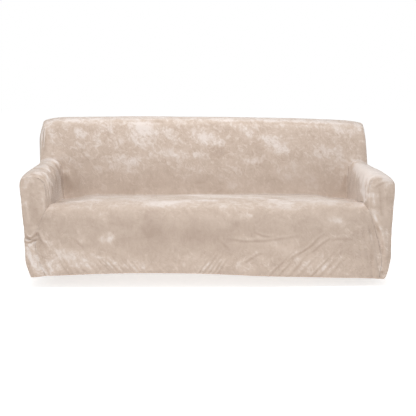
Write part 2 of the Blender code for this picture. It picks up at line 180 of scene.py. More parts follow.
def rounded(rough):
    """The edit mesh after its Subdivision Surface."""
    creases = rough.edges.layers.float.new("crease_edge")
    for edge in rough.edges:
        if is_seam(edge):
            edge[creases] = SEAM_SHARPNESS
    mesh = bpy.data.meshes.new("skin")
    rough.to_mesh(mesh)
    holder = bpy.data.objects.new("skin", mesh)
    bpy.context.scene.collection.objects.link(holder)
    subdivision = holder.modifiers.new("round", "SUBSURF")
    subdivision.levels = subdivision.render_levels = ROUNDING_LEVELS
    depsgraph = bpy.context.evaluated_depsgraph_get()
    smooth = bmesh.new()
    smooth.from_mesh(holder.evaluated_get(depsgraph).to_mesh())
    bpy.data.objects.remove(holder)
    bpy.data.meshes.remove(mesh)
    return smooth


skin = rounded(coarse)
coarse.free()
print("rounded skin:", len(skin.faces), "faces")

# %% [markdown]
# ## Refine it where it matters
# A fold shows only if the faces are smaller than it is wide. So every edge that is too
# long for its place is cut in half, up to three times: short edges where the folds lie,
# longer ones on the seat's top, and the longest behind. A face with more than four
# corners is split into triangles, so that each face later has one clear shape.

# %% Cut its long edges
APRON_TOP = -0.57        # heights: the drag lines in the apron start here,
FRONT_EDGE = -0.50       # the front of the seat ends here,
GATHERS_TOP = -0.60      # the gathers at the sides and the rear start here,
INSIDE_END = -0.44       # and the insides of the arms go down to here
ARM_OUTSIDE = 1.01       # how far out the outer side of an arm starts
LONGEST_EDGE = {         # the longest edge that a face may have, in metres
    "top of the seat": 0.0125,
    "front of the seat": 0.0095,
    "apron": 0.0062,
    "gathers": 0.0085,
    "rear": 0.020,
    "inside of an arm": 0.0068,
    "outside of an arm": 0.014,
    "inside_back": 0.0095,
    "arm_front_left": 0.0055,
    "arm_front_right": 0.0055,
    "back_side_left": 0.0065,
    "back_side_right": 0.0065,
}


def part_at(panel, place):
    """What a place of a panel is called in the table. A small panel has its own row."""
    if panel in LONGEST_EDGE:
        return panel
    if panel == "seat_and_apron":
        if place.z < APRON_TOP:
            return "apron"
        return "front of the seat" if place.z < FRONT_EDGE else "top of the seat"
    if panel == "outside_back":
        return "gathers" if place.z < GATHERS_TOP else "rear"
    if place.z > INSIDE_END and abs(place.x) < ARM_OUTSIDE:
        return "inside of an arm"
    return "gathers" if place.z < GATHERS_TOP else "outside of an arm"


def face_size(face):
    """The longest edge that a face of the skin may have."""
    return LONGEST_EDGE[part_at(PANELS[face.material_index], face.calc_center_median())]


def cut_long_edges(skin, rounds=3):
    """Halves every edge that is too long for its place, again and again."""
    for _ in range(rounds):
        skin.faces.index_update()
        sizes = [face_size(face) for face in skin.faces]
        too_long = [edge for edge in skin.edges
                    if edge.calc_length() > min(sizes[face.index] for face in edge.link_faces)]
        if not too_long:
            break
        bmesh.ops.subdivide_edges(
            skin, edges=too_long, cuts=1, use_grid_fill=True, use_single_edge=True
        )
    many_sided = [face for face in skin.faces if len(face.verts) > 4]
    bmesh.ops.triangulate(skin, faces=many_sided)


cut_long_edges(skin)
skin.normal_update()
print("fine skin:", len(skin.faces), "faces", round(time.time() - started, 1), "s")

# %% [markdown]
# ## Smooth random heights
# Cloth is never quite even. The slack in it, the way a fold wanders, and the ragged edge
# of a brushed patch all come from one helper: random numbers on a coarse lattice, eased
# from one lattice point to the next. The table of numbers has a fixed seed, so each run
# gives the same cloth.

# %% Make smooth random heights
LATTICE_SIZE, LATTICE_SEED = 64, 7
LATTICE = np.random.default_rng(LATTICE_SEED).uniform(-1, 1, (LATTICE_SIZE,) * 3)
LATTICE_START = 1000.5   # where in the table the middle of the cover lies
LATTICE_TURN = 17.3      # how far each further turn moves along it


def lumps(points, size, turn=0):
    """Random heights from -1 to 1 at the points, in smooth lumps about `size` metres apart."""
    place = points / np.array(size) + LATTICE_START + LATTICE_TURN * turn
    cell = np.floor(place).astype(int)
    share = place - cell
    share = share * share * (3 - 2 * share)
    heights = np.zeros(len(points))
    for corner in product((0, 1), repeat=3):
        weight = np.prod(np.where(corner, share, 1 - share), axis=1)
        heights += weight * LATTICE[tuple(((cell + corner) % LATTICE_SIZE).T)]
    return heights


def ramp(value, low, high):
    """0 below low, 1 above high, and a soft rise between them."""
    share = np.clip((value - low) / (high - low), 0, 1)
    return share * share * (3 - 2 * share)


def wander(points, size, reach, turn=0):
    """The points, each moved at random by up to about `reach`, neighbours alike."""
    steps = [lumps(points, size, turn + 3 * axis) for axis in range(3)]
    return points + reach * np.stack(steps, axis=1)


trial = lumps(np.array([(0.00, 0, 0), (0.01, 0, 0), (0.50, 0, 0)]), 0.10)
print("heights at a point, 10 mm beside it and far away:", trial.round(2))

# %% [markdown]
# ## Let the seat settle beside the arms
# The plain seat runs level from arm to arm. The real one is rounded off beside each arm,
# where the cloth sinks into the crevice, so those parts of the skin are lowered before
# any fold is pressed.

# %% Lower the ends of the seat
SETTLE = {-1: (0.66, 0.028), 1: (0.60, 0.034)}   # side: (where it starts, how deep)
ARM_INSIDE = 0.88        # how far out the insides of the arms stand
SEAT_HALF_WIDTH = 0.90
UNDER_ARMS = (0.335, 0.415)     # how far down the sinking sets in, from and to
OVER_FRONT = (-0.52, -0.47)     # the heights between which it ends at the front
BEHIND_FRONT = (-0.76, -0.56)   # where it sets in behind the front edge
BEFORE_BACK = (0.17, 0.22)      # how far before the mount it ends at the back


def settle(points):
    """The skin's points with the ends of the seat sunk beside the arms."""
    x, y, z = points.T
    on_seat = ramp(-z, *UNDER_ARMS) * ramp(z, *OVER_FRONT) * ramp(y, *BEHIND_FRONT)
    on_seat *= ramp(-y, *BEFORE_BACK) * (np.abs(x) < SEAT_HALF_WIDTH)
    lower = np.array(points)
    for side, (start, depth) in SETTLE.items():
        lower[:, 2] -= depth * ramp(side * x, start, ARM_INSIDE) * on_seat
    return lower


def points_of(mesh):
    """The places of an edit mesh's points."""
    return np.array([vert.co for vert in mesh.verts])


def move_points(mesh, places):
    """Puts an edit mesh's points at new places."""
    for vert, place in zip(mesh.verts, places):
        vert.co = place
    mesh.normal_update()


level_seat = points_of(skin)
move_points(skin, settle(level_seat))
print("the seat's ends sink by up to",
      round(1000 * (level_seat - points_of(skin)).max(), 1), "mm")

# %% [markdown]
# ## Folds
# A fold is a soft ridge with a shallow trough on its lower side, which is what catches
# the light and makes the shade next to it. Each one is a row in a table: where it
# starts, passes and ends, how wide it is and how far it rises, in metres. A last True
# says that it runs into the hem at full strength. Cloth simulation could find folds of
# its own, but not the ones this cover has, so they are given one by one.

# %% Press one fold
Fold = namedtuple("Fold", "start middle end width rise to_edge", defaults=(False,))
FOLD_GAIN = 1.35         # raises or lowers all the folds together
FOLD_REACH = 4           # a fold is felt this many of its widths away
FADE = 0.8               # under 1 keeps a fold strong for longer before it fades out
TROUGH_DEPTH = 0.55      # as a share of the fold's rise
TROUGH_BELOW = 1.5       # in widths of the fold


def curve_through(start, middle, end, steps=10):
    """Points on a smooth curve from start through middle to end."""
    start, middle, end = (np.array(point, float) for point in (start, middle, end))
    handle = 2 * middle - (start + end) / 2
    share = np.linspace(0, 1, steps + 1)[:, None]
    return (1 - share)**2 * start + 2 * share * (1 - share) * handle + share**2 * end


def measure_from(points, line, reach):
    """Which points lie within reach of a line, the steps from it to them, and how far
    along it they are, from 0 to 1."""
    near = ((points > line.min(0) - reach) & (points < line.max(0) + reach)).all(1)
    chosen = np.flatnonzero(near)
    close = points[chosen]
    nearest = np.full(len(chosen), np.inf)
    away, along = np.zeros((len(chosen), 3)), np.zeros(len(chosen))
    for number, (one, two) in enumerate(zip(line, line[1:])):
        step = two - one
        share = np.clip((close - one) @ step / (step @ step), 0, 1)
        offset = close - one - share[:, None] * step
        distance = np.linalg.norm(offset, axis=1)
        better = distance < nearest
        nearest[better] = distance[better]
        away[better] = offset[better]
        along[better] = (number + share[better]) / (len(line) - 1)
    return chosen, away, along


def press(heights, points, normals, fold):
    """Adds one fold to the heights."""
    line = curve_through(fold.start, fold.middle, fold.end)
    chosen, away, along = measure_from(points, line, FOLD_REACH * fold.width)
    if not len(chosen):
        return
    upwards = np.cross(line[-1] - line[0], normals[chosen])
    upwards *= np.sign(upwards[:, 2:3] + 1e-9)        # never 0
    side = np.sign((away * upwards).sum(1) + 1e-12)   # never 0
    across = side * np.linalg.norm(away, axis=1) / fold.width
    strength = np.sin(math.pi * along / (2 if fold.to_edge else 1)) ** FADE
    shape = np.exp(-across**2) - TROUGH_DEPTH * np.exp(-(across + TROUGH_BELOW)**2)
    heights[chosen] += FOLD_GAIN * fold.rise * strength * shape


print("middle of a curve through (0, 0), (1, 1) and (2, 0):",
      curve_through((0, 0), (1, 1), (2, 0))[5])

# %% [markdown]
# ### Folds round the left arm
# The cover was pulled towards the inside corner of the arm, so short crescents lie
# across the arm's top, and the inside of the arm has upright folds that run down into
# the seat.

# %% Left arm folds
LEFT_ARM_FOLDS = [
    Fold((-0.955, -0.185, -0.241), (-0.915, -0.212, -0.257), (-0.888, -0.196, -0.300), 0.011, 0.0037),
    Fold((-0.975, -0.225, -0.244), (-0.925, -0.265, -0.254), (-0.890, -0.250, -0.300), 0.014, 0.0033),
    Fold((-0.975, -0.345, -0.251), (-0.921, -0.474, -0.255), (-0.889, -0.523, -0.297), 0.016, 0.0022),
    Fold((-0.965, -0.528, -0.250), (-0.935, -0.585, -0.256), (-0.893, -0.640, -0.275), 0.014, 0.0024),
    Fold((-0.990, -0.690, -0.258), (-0.935, -0.700, -0.255), (-0.893, -0.725, -0.278), 0.013, 0.0022),
    Fold((-0.889, -0.441, -0.293), (-0.880, -0.430, -0.335), (-0.879, -0.478, -0.385), 0.014, 0.0026),
    Fold((-0.886, -0.618, -0.290), (-0.877, -0.580, -0.350), (-0.873, -0.640, -0.405), 0.015, 0.0026),
    Fold((-0.889, -0.690, -0.285), (-0.877, -0.668, -0.340), (-0.873, -0.690, -0.400), 0.013, 0.0022),
    Fold((-0.882, -0.330, -0.300), (-0.878, -0.340, -0.350), (-0.876, -0.370, -0.410), 0.018, 0.0022),
    Fold((-0.905, -0.735, -0.262), (-0.884, -0.720, -0.320), (-0.874, -0.705, -0.420), 0.010, 0.0025),
    Fold((-0.915, -0.640, -0.262), (-0.886, -0.600, -0.310), (-0.875, -0.600, -0.400), 0.011, 0.0022),
    Fold((-0.990, -0.590, -0.262), (-0.945, -0.610, -0.250), (-0.905, -0.660, -0.262), 0.011, 0.0019),
    Fold((-0.985, -0.420, -0.262), (-0.940, -0.450, -0.250), (-0.900, -0.520, -0.266), 0.014, 0.0021),
    Fold((-0.990, -0.280, -0.254), (-0.935, -0.320, -0.250), (-0.895, -0.350, -0.280), 0.014, 0.0025),
]
print(len(LEFT_ARM_FOLDS), "folds round the left arm")

# %% [markdown]
# ### Gathers low on the left arm
# The elastic in the hem pulls the narrow front of the arm together at knee height. Two
# short folds cross there, and longer ones hang from them to the hem.

# %% Left gathers
LEFT_GATHERS = [
    Fold((-1.006, -0.773, -0.568), (-0.978, -0.770, -0.603), (-0.944, -0.773, -0.565), 0.009, 0.0050),
    Fold((-1.010, -0.776, -0.618), (-0.977, -0.776, -0.624), (-0.942, -0.772, -0.592), 0.008, 0.0042),
    Fold((-1.000, -0.779, -0.590), (-0.965, -0.777, -0.612), (-0.925, -0.775, -0.600), 0.008, 0.0030),
    Fold((-0.995, -0.780, -0.635), (-0.976, -0.781, -0.660), (-0.966, -0.774, -0.710), 0.010, 0.0030),
    Fold((-0.979, -0.781, -0.648), (-0.976, -0.775, -0.705), (-0.960, -0.776, -0.830), 0.012, 0.0030, True),
    Fold((-0.943, -0.773, -0.567), (-0.921, -0.777, -0.589), (-0.890, -0.782, -0.645), 0.010, 0.0036),
    Fold((-0.925, -0.777, -0.617), (-0.910, -0.780, -0.656), (-0.905, -0.776, -0.720), 0.010, 0.0026),
    Fold((-0.936, -0.774, -0.590), (-0.900, -0.781, -0.630), (-0.860, -0.788, -0.700), 0.012, 0.0026),
    Fold((-0.905, -0.780, -0.690), (-0.890, -0.780, -0.750), (-0.865, -0.783, -0.830), 0.013, 0.0024, True),
]
print(len(LEFT_GATHERS), "gathers low on the left arm")

# %% [markdown]
# ### Folds down the right arm
# The right arm's facing sags a little, and its slack runs down in long upright folds
# from the corner of the seat to the hem. Two creases cross the top of the arm.

# %% Right arm folds
RIGHT_ARM_FOLDS = [
    Fold((0.890, -0.720, -0.292), (0.925, -0.735, -0.266), (0.990, -0.765, -0.284), 0.009, 0.0024),
    Fold((0.904, -0.778, -0.335), (0.943, -0.776, -0.307), (1.002, -0.772, -0.290), 0.008, 0.0018),
    Fold((0.895, -0.640, -0.278), (0.930, -0.665, -0.262), (0.985, -0.700, -0.268), 0.010, 0.0022),
    Fold((0.884, -0.600, -0.300), (0.925, -0.560, -0.265), (0.985, -0.520, -0.262), 0.014, 0.0030),
    Fold((0.890, -0.720, -0.290), (0.877, -0.735, -0.355), (0.868, -0.728, -0.430), 0.012, 0.0050),
    Fold((0.885, -0.640, -0.295), (0.874, -0.660, -0.345), (0.870, -0.680, -0.415), 0.011, 0.0035),
    Fold((0.884, -0.420, -0.300), (0.874, -0.440, -0.350), (0.870, -0.480, -0.410), 0.015, 0.0028),
    Fold((0.880, -0.772, -0.440), (0.913, -0.776, -0.505), (0.970, -0.782, -0.635), 0.012, 0.0045),
    Fold((0.965, -0.782, -0.615), (0.985, -0.779, -0.695), (0.993, -0.778, -0.840), 0.013, 0.0038, True),
    Fold((0.874, -0.775, -0.458), (0.898, -0.778, -0.525), (0.926, -0.777, -0.615), 0.011, 0.0036),
    Fold((0.920, -0.778, -0.470), (0.948, -0.780, -0.558), (0.979, -0.784, -0.620), 0.012, 0.0030),
    Fold((0.925, -0.777, -0.605), (0.958, -0.776, -0.684), (0.969, -0.778, -0.800), 0.012, 0.0034, True),
    Fold((0.896, -0.781, -0.635), (0.930, -0.779, -0.729), (0.948, -0.778, -0.845), 0.013, 0.0030, True),
    Fold((0.862, -0.783, -0.560), (0.890, -0.783, -0.640), (0.905, -0.781, -0.760), 0.015, 0.0024),
    Fold((0.892, -0.776, -0.400), (0.925, -0.777, -0.470), (0.975, -0.780, -0.560), 0.010, 0.0024),
    Fold((0.905, -0.776, -0.520), (0.935, -0.778, -0.600), (0.955, -0.778, -0.690), 0.009, 0.0026),
    Fold((0.948, -0.778, -0.560), (0.975, -0.778, -0.650), (0.985, -0.778, -0.740), 0.009, 0.0024),
    Fold((0.900, -0.780, -0.700), (0.925, -0.779, -0.770), (0.935, -0.778, -0.848), 0.010, 0.0024, True),
    Fold((0.840, -0.786, -0.620), (0.862, -0.785, -0.700), (0.875, -0.784, -0.800), 0.012, 0.0022),
    Fold((0.870, -0.784, -0.480), (0.882, -0.782, -0.560), (0.890, -0.782, -0.640), 0.010, 0.0022),
]
print(len(RIGHT_ARM_FOLDS), "folds down the right arm")

# %% [markdown]
# ### Drag lines in the apron
# The hem grips the lower edge, and the apron above it is pulled aside. On the left the
# lines run down to the right, on the right they run down to the left, and a few level
# creases cross the middle. The slanting lines come in families, so one helper fills in
# the lines between a first and a last one, each a little out of step.

# %% Spread a family of folds
UNEVEN = {               # from and to, as shares of
    "place": (-0.28, 0.28),   # the step to the next fold
    "start": (-0.15, 0.35),   # the fold's length
    "rise": (0.45, 1.15),     # its rise
    "width": (0.80, 1.25),    # its width
}


def family(first, last, count, seed):
    """Folds spread from the first to the last, with uneven places, lengths and heights."""
    chance = np.random.default_rng(seed)
    folds = []
    for share in (np.arange(count) + chance.uniform(*UNEVEN["place"], count)) / (count - 1):
        share = min(max(share, 0), 1)
        ends = [np.array(a) * (1 - share) + np.array(b) * share
                for a, b in zip(first[:3], last[:3])]
        ends[0] = ends[0] + (ends[2] - ends[0]) * chance.uniform(*UNEVEN["start"])
        rise = (first.rise * (1 - share) + last.rise * share) * chance.uniform(*UNEVEN["rise"])
        width = (first.width * (1 - share) + last.width * share) * chance.uniform(*UNEVEN["width"])
        folds.append(Fold(*(tuple(end) for end in ends), width, rise, first.to_edge))
    return folds


trial = family(Fold((0, 0, 0), (0, 0, -0.1), (0, 0, -0.2), 0.01, 0.002),
               Fold((1, 0, 0), (1, 0, -0.1), (1, 0, -0.2), 0.01, 0.002), count=5, seed=1)
print("five folds spread over a metre stand at", [round(float(fold.end[0]), 2) for fold in trial])

# %% Apron folds
APRON_FOLDS = [
    *family(
        Fold((-0.850, -0.790, -0.640), (-0.815, -0.789, -0.725), (-0.760, -0.789, -0.815),
             0.010, 0.0020, True),
        Fold((-0.630, -0.797, -0.680), (-0.600, -0.794, -0.750), (-0.560, -0.791, -0.820),
             0.007, 0.0022, True),
        count=7, seed=3,
    ),
    *family(
        Fold((-0.640, -0.798, -0.670), (-0.590, -0.795, -0.735), (-0.530, -0.793, -0.812),
             0.006, 0.0024, True),
        Fold((-0.345, -0.803, -0.690), (-0.310, -0.799, -0.750), (-0.270, -0.797, -0.815),
             0.007, 0.0016, True),
        count=13, seed=4,
    ),
    *family(
        Fold((-0.330, -0.803, -0.720), (-0.290, -0.799, -0.760), (-0.250, -0.797, -0.815),
             0.008, 0.0014, True),
        Fold((-0.150, -0.803, -0.730), (-0.135, -0.799, -0.765), (-0.120, -0.797, -0.815),
             0.008, 0.0010, True),
        count=4, seed=9,
    ),
    *family(
        Fold((0.000, -0.802, -0.700), (-0.030, -0.797, -0.750), (-0.070, -0.796, -0.820),
             0.007, 0.0024, True),
        Fold((0.135, -0.804, -0.700), (0.085, -0.799, -0.755), (0.040, -0.795, -0.825),
             0.007, 0.0020, True),
        count=5, seed=5,
    ),
    Fold((0.290, -0.809, -0.680), (0.235, -0.806, -0.718), (0.175, -0.803, -0.755), 0.010, 0.0016),
    Fold((0.636, -0.806, -0.580), (0.574, -0.809, -0.632), (0.490, -0.804, -0.700), 0.008, 0.0018),
    Fold((0.680, -0.803, -0.590), (0.620, -0.806, -0.640), (0.545, -0.804, -0.700), 0.008, 0.0016),
    Fold((0.560, -0.808, -0.640), (0.490, -0.806, -0.690), (0.420, -0.802, -0.750), 0.009, 0.0015),
    *family(
        Fold((0.480, -0.804, -0.670), (0.410, -0.801, -0.735), (0.330, -0.797, -0.825),
             0.009, 0.0014, True),
        Fold((0.795, -0.790, -0.670), (0.740, -0.792, -0.740), (0.670, -0.792, -0.820),
             0.009, 0.0022, True),
        count=7, seed=6,
    ),
    Fold((0.095, -0.813, -0.603), (0.227, -0.815, -0.617), (0.345, -0.815, -0.607), 0.008, 0.0017),
    Fold((0.290, -0.815, -0.613), (0.392, -0.814, -0.603), (0.500, -0.812, -0.588), 0.008, 0.0014),
    Fold((0.250, -0.812, -0.568), (0.293, -0.813, -0.587), (0.375, -0.814, -0.592), 0.008, 0.0014),
    Fold((0.660, -0.803, -0.612), (0.736, -0.798, -0.609), (0.810, -0.792, -0.618), 0.009, 0.0016),
    Fold((0.060, -0.812, -0.600), (0.085, -0.811, -0.637), (0.120, -0.809, -0.672), 0.009, 0.0013),
    Fold((-0.740, -0.799, -0.590), (-0.706, -0.800, -0.624), (-0.672, -0.800, -0.665), 0.012, 0.0022),
]
print(len(APRON_FOLDS), "drag lines and creases in the apron")

# %% [markdown]
# ### Folds in the back and the seat
# The inside back is stretched flat but for two drapes where it meets each arm and a slack
# roll along its top edge. The seat has long level creases near its rear edge, where the
# cloth is pushed into the crevice.

# %% Back and seat folds
BACK_AND_SEAT_FOLDS = [
    Fold((-1.022, -0.060, -0.040), (-1.024, -0.100, -0.110), (-1.018, -0.130, -0.200), 0.008, 0.0045),
    Fold((-1.032, -0.030, -0.060), (-1.034, -0.070, -0.140), (-1.026, -0.100, -0.230), 0.009, 0.0040),
    Fold((-1.002, -0.100, -0.050), (-1.004, -0.133, -0.132), (-0.996, -0.165, -0.225), 0.009, 0.0036),
    Fold((-0.885, -0.200, -0.295), (-0.856, -0.206, -0.378), (-0.868, -0.224, -0.450), 0.012, 0.0045),
    Fold((-0.862, -0.192, -0.320), (-0.832, -0.205, -0.385), (-0.838, -0.225, -0.450), 0.012, 0.0032),
    Fold((0.880, -0.200, -0.310), (0.856, -0.208, -0.385), (0.862, -0.226, -0.450), 0.013, 0.0040),
    Fold((-1.000, -0.085, -0.060), (-0.992, -0.125, -0.140), (-0.985, -0.150, -0.215), 0.012, 0.0050),
    Fold((-1.012, -0.090, -0.110), (-1.010, -0.120, -0.170), (-1.000, -0.150, -0.235), 0.009, 0.0035),
    Fold((-0.880, -0.085, -0.012), (-0.400, -0.085, -0.003), (0.150, -0.088, -0.008), 0.013, 0.0030),
    Fold((0.100, -0.092, -0.014), (0.480, -0.095, -0.020), (0.860, -0.090, -0.034), 0.013, 0.0030),
    Fold((-0.560, -0.470, -0.430), (-0.200, -0.500, -0.420), (0.150, -0.470, -0.425), 0.014, 0.0030),
    Fold((-0.150, -0.560, -0.418), (0.150, -0.590, -0.414), (0.480, -0.560, -0.418), 0.012, 0.0030),
    Fold((0.200, -0.640, -0.414), (0.330, -0.670, -0.417), (0.560, -0.650, -0.414), 0.012, 0.0032),
    Fold((-0.380, -0.700, -0.424), (-0.250, -0.735, -0.432), (-0.100, -0.715, -0.425), 0.011, 0.0030),
    Fold((-0.840, -0.560, -0.425), (-0.780, -0.640, -0.420), (-0.640, -0.690, -0.418), 0.014, 0.0030),
]
print(len(BACK_AND_SEAT_FOLDS), "folds in the back and the seat")

# %% [markdown]
# ### Gathers at the hem behind
# The photo doesn't show the outer sides of the arms and the rear. The elastic in the hem
# draws them in as it does the front, so they get short upright gathers above the hem,
# uneven in height and spacing.

# %% Hem gathers
HEM_GATHERS = [
    *family(
        Fold((-1.040, -0.720, -0.700), (-1.040, -0.715, -0.760), (-1.035, -0.705, -0.826),
             0.012, 0.0020, True),
        Fold((-1.042, 0.040, -0.690), (-1.042, 0.030, -0.760), (-1.042, 0.020, -0.826),
             0.012, 0.0026, True),
        count=13, seed=21,
    ),
    *family(
        Fold((1.025, -0.720, -0.710), (1.025, -0.715, -0.770), (1.020, -0.705, -0.845),
             0.012, 0.0020, True),
        Fold((1.027, 0.040, -0.700), (1.027, 0.030, -0.770), (1.027, 0.020, -0.845),
             0.012, 0.0026, True),
        count=13, seed=22,
    ),
    *family(
        Fold((-0.980, 0.090, -0.640), (-0.965, 0.090, -0.730), (-0.955, 0.090, -0.826),
             0.013, 0.0026, True),
        Fold((-0.060, 0.090, -0.700), (-0.050, 0.090, -0.760), (-0.050, 0.090, -0.826),
             0.013, 0.0016, True),
        count=15, seed=23,
    ),
    *family(
        Fold((0.030, 0.090, -0.700), (0.020, 0.090, -0.760), (0.020, 0.090, -0.826),
             0.013, 0.0016, True),
        Fold((0.960, 0.090, -0.640), (0.945, 0.090, -0.730), (0.935, 0.090, -0.826),
             0.013, 0.0026, True),
        count=15, seed=24,
    ),
]
print(len(HEM_GATHERS), "gathers at the sides and behind")

# %% [markdown]
# ## Press the folds into the skin
# The heights of all the folds are added up first, and the skin is moved along its normals
# once. A few millimetres of slack go in as well: long soft swells everywhere, stronger in
# the apron and behind the arms, and fine puckers beside each seam, where the thread draws
# the cloth in.

# %% Measure the skin
skin.verts.ensure_lookup_table()
at_rest = points_of(skin)
normals = np.array([vert.normal for vert in skin.verts])
seam_points = [v.co for v in skin.verts if any(is_seam(e) for e in v.link_edges)]
nearest_seam = KDTree(len(seam_points))
for number, place in enumerate(seam_points):
    nearest_seam.insert(place, number)
nearest_seam.balance()
from_seam = np.array([nearest_seam.find(vert.co)[2] for vert in skin.verts])
print("skin points:", len(at_rest), "seam points:", len(seam_points))

# %% Add up the heights
SWELL_RISE = 0.0016      # the soft swells of loose cloth
CRUMPLE_RISE = 0.0006    # its small creases
CROWN_RISE = 0.0052      # the long waves along the top of the seat
PUCKER_RISE = 0.0007     # the puckers beside a seam
PUCKER_REACH = 0.018     # how far from the seam they go
PUCKER_SIZE = 0.016      # how wide they are
WANDER_SIZE, WANDER_REACH = 0.07, 0.006   # how the folds stray from their lines
LOOSE_BELOW, LOOSE_OVER = -0.52, 0.25     # cloth gets looser from here down, over this height,
LOOSE_BEYOND, LOOSE_WITHIN = 0.84, 0.06   # and from here outwards, over this width
TIGHTEST = 0.45                           # how loose it still is elsewhere
SWELLS = (((0.16, 0.16, 0.12), 1, 1.0), ((0.07, 0.07, 0.055), 2, 0.5))   # size, turn, share
WAVES = (((0.20, 0.45, 0.45), 7, 1.0), ((0.09, 0.25, 0.25), 8, 0.5))
CRUMPLE_SIZE, CRUMPLE_PATCH = 0.028, 0.12   # small creases, and the patches they come in
CRUMPLE_SHARE = 0.35                        # above 0 where more than half of the cloth has them


def fold_heights(points, normals):
    """How far the folds lift each point of the skin."""
    heights = np.zeros(len(points))
    wandered = wander(points, WANDER_SIZE, WANDER_REACH)
    for fold in (LEFT_ARM_FOLDS + LEFT_GATHERS + RIGHT_ARM_FOLDS + APRON_FOLDS
                 + BACK_AND_SEAT_FOLDS + HEM_GATHERS):
        press(heights, wandered, normals, fold)
    return heights


def layered(points, layers):
    """Lumps of several sizes on top of each other."""
    return sum(share * lumps(points, size, turn) for size, turn, share in layers)


def slack_heights(points):
    """The soft swells and dents of cloth that is a little loose.

    It is loosest low down and at the arms. The crown is the top of the seat.
    """
    x, y, z = points.T
    low = np.clip((LOOSE_BELOW - z) / LOOSE_OVER, 0, 1)
    arm = np.clip((np.abs(x) - LOOSE_BEYOND) / LOOSE_WITHIN, 0, 1)
    looseness = TIGHTEST + (1 - TIGHTEST) * np.maximum(low, arm)
    crown = ramp(z, -0.46, -0.43) * ramp(-z, 0.36, 0.39) * ramp(-y, 0.28, 0.40)
    patches = np.clip(lumps(points, CRUMPLE_PATCH, 4) + CRUMPLE_SHARE, 0, 1)
    crumple = lumps(points, CRUMPLE_SIZE, 3) * patches
    loose = looseness * (SWELL_RISE * layered(points, SWELLS) + CRUMPLE_RISE * crumple)
    return loose + CROWN_RISE * crown * layered(points, WAVES)


def pucker_heights(points, distance):
    """Fine puckers that fade out a finger's width from a seam."""
    height = PUCKER_RISE * lumps(points, PUCKER_SIZE, 5)
    return height * np.exp(-(distance / PUCKER_REACH)**2)


heights = fold_heights(at_rest, normals)
heights += slack_heights(at_rest) + pucker_heights(at_rest, from_seam)
folded = at_rest + normals * heights[:, None]
move_points(skin, folded)
print("folds lift the skin by", round(1000 * heights.min(), 1), "to",
      round(1000 * heights.max(), 1), "mm", round(time.time() - started, 1), "s")

# %% [markdown]
# ## Cut the skin into panels again
# Each panel is cut out of the finished skin along its seams. A narrow ring of faces
# beside the cut rolls the cloth in at a seam, and turns the edge in at the hem. Then the
# sheet gets its thickness. The Solidify modifier would thicken each panel along its own
# normals, and neighbours would gape at the seams, so the inner face is set back along
# the normals of the whole skin, which neighbours share.

# %% Mark the points of the skin
IN_PANEL, ON_SEAM, ON_HEM = 0, 1, 2

folded_normals = np.array([vert.normal for vert in skin.verts])
point_number = skin.verts.layers.int.new("skin_point")
edge_kind = skin.verts.layers.int.new("edge_kind")
for vert in skin.verts:
    vert[point_number] = vert.index
    if any(edge.is_boundary for edge in vert.link_edges):
        vert[edge_kind] = ON_HEM
    elif any(is_seam(edge) for edge in vert.link_edges):
        vert[edge_kind] = ON_SEAM
    else:
        vert[edge_kind] = IN_PANEL
print("points on the hem:", sum(vert[edge_kind] == ON_HEM for vert in skin.verts))

# %% Cut out one panel
RING = 0.0028            # width of the faces beside a cut
LONGEST_STEP = 1.5       # widths of the ring that a point may move, so corners don't spike
SEAM_DEPTH = 0.0008      # how far the cloth dips into a seam
HEM_TURN = 0.0011        # how far the hem's edge turns in
HALF_GAP = 0.00015       # how far a panel's edge stays back from the cut


def cut_out(number):
    """The outer face of one panel: its points, faces, edges and places in the skin."""
    panel = skin.copy()
    others = [face for face in panel.faces if face.material_index != number]
    bmesh.ops.delete(panel, geom=others, context="FACES")
    bmesh.ops.inset_region(
        panel, faces=panel.faces, thickness=RING, use_boundary=True, use_even_offset=True
    )
    number_layer = panel.verts.layers.int["skin_point"]
    kind_layer = panel.verts.layers.int["edge_kind"]
    panel.verts.index_update()
    places = np.array([vert[number_layer] for vert in panel.verts])
    step = points_of(panel) - folded[places]
    length = np.maximum(np.linalg.norm(step, axis=1, keepdims=True), 1e-9)
    points = folded[places] + step * np.minimum(1, LONGEST_STEP * RING / length)
    for vert in panel.verts:
        if not vert.is_boundary:
            continue
        depth = HEM_TURN if vert[kind_layer] == ON_HEM else SEAM_DEPTH
        inwards = sum((e.other_vert(vert).co - vert.co for e in vert.link_edges
                       if not e.is_boundary), Vector())
        back = np.array(inwards.normalized()) * HALF_GAP
        points[vert.index] += back - folded_normals[places[vert.index]] * depth
    faces = [[vert.index for vert in face.verts] for face in panel.faces]
    rims = [(loop.vert.index, loop.link_loop_next.vert.index)
            for edge in panel.edges if edge.is_boundary for loop in edge.link_loops]
    panel.free()
    return points, faces, rims, places


trial = cut_out(PANELS.index("back_side_left"))
print("one small panel cut out:", len(trial[0]), "points,", len(trial[1]), "faces,",
      len(trial[2]), "edges round it")

# %% [markdown]
# The inner face repeats the outer one, turned over, and a strip of four-sided faces
# closes the edge between them.

# %% Give a panel its thickness
THICKNESS = 0.0020
VELVET, BACKING = 0, 1   # a panel's two materials


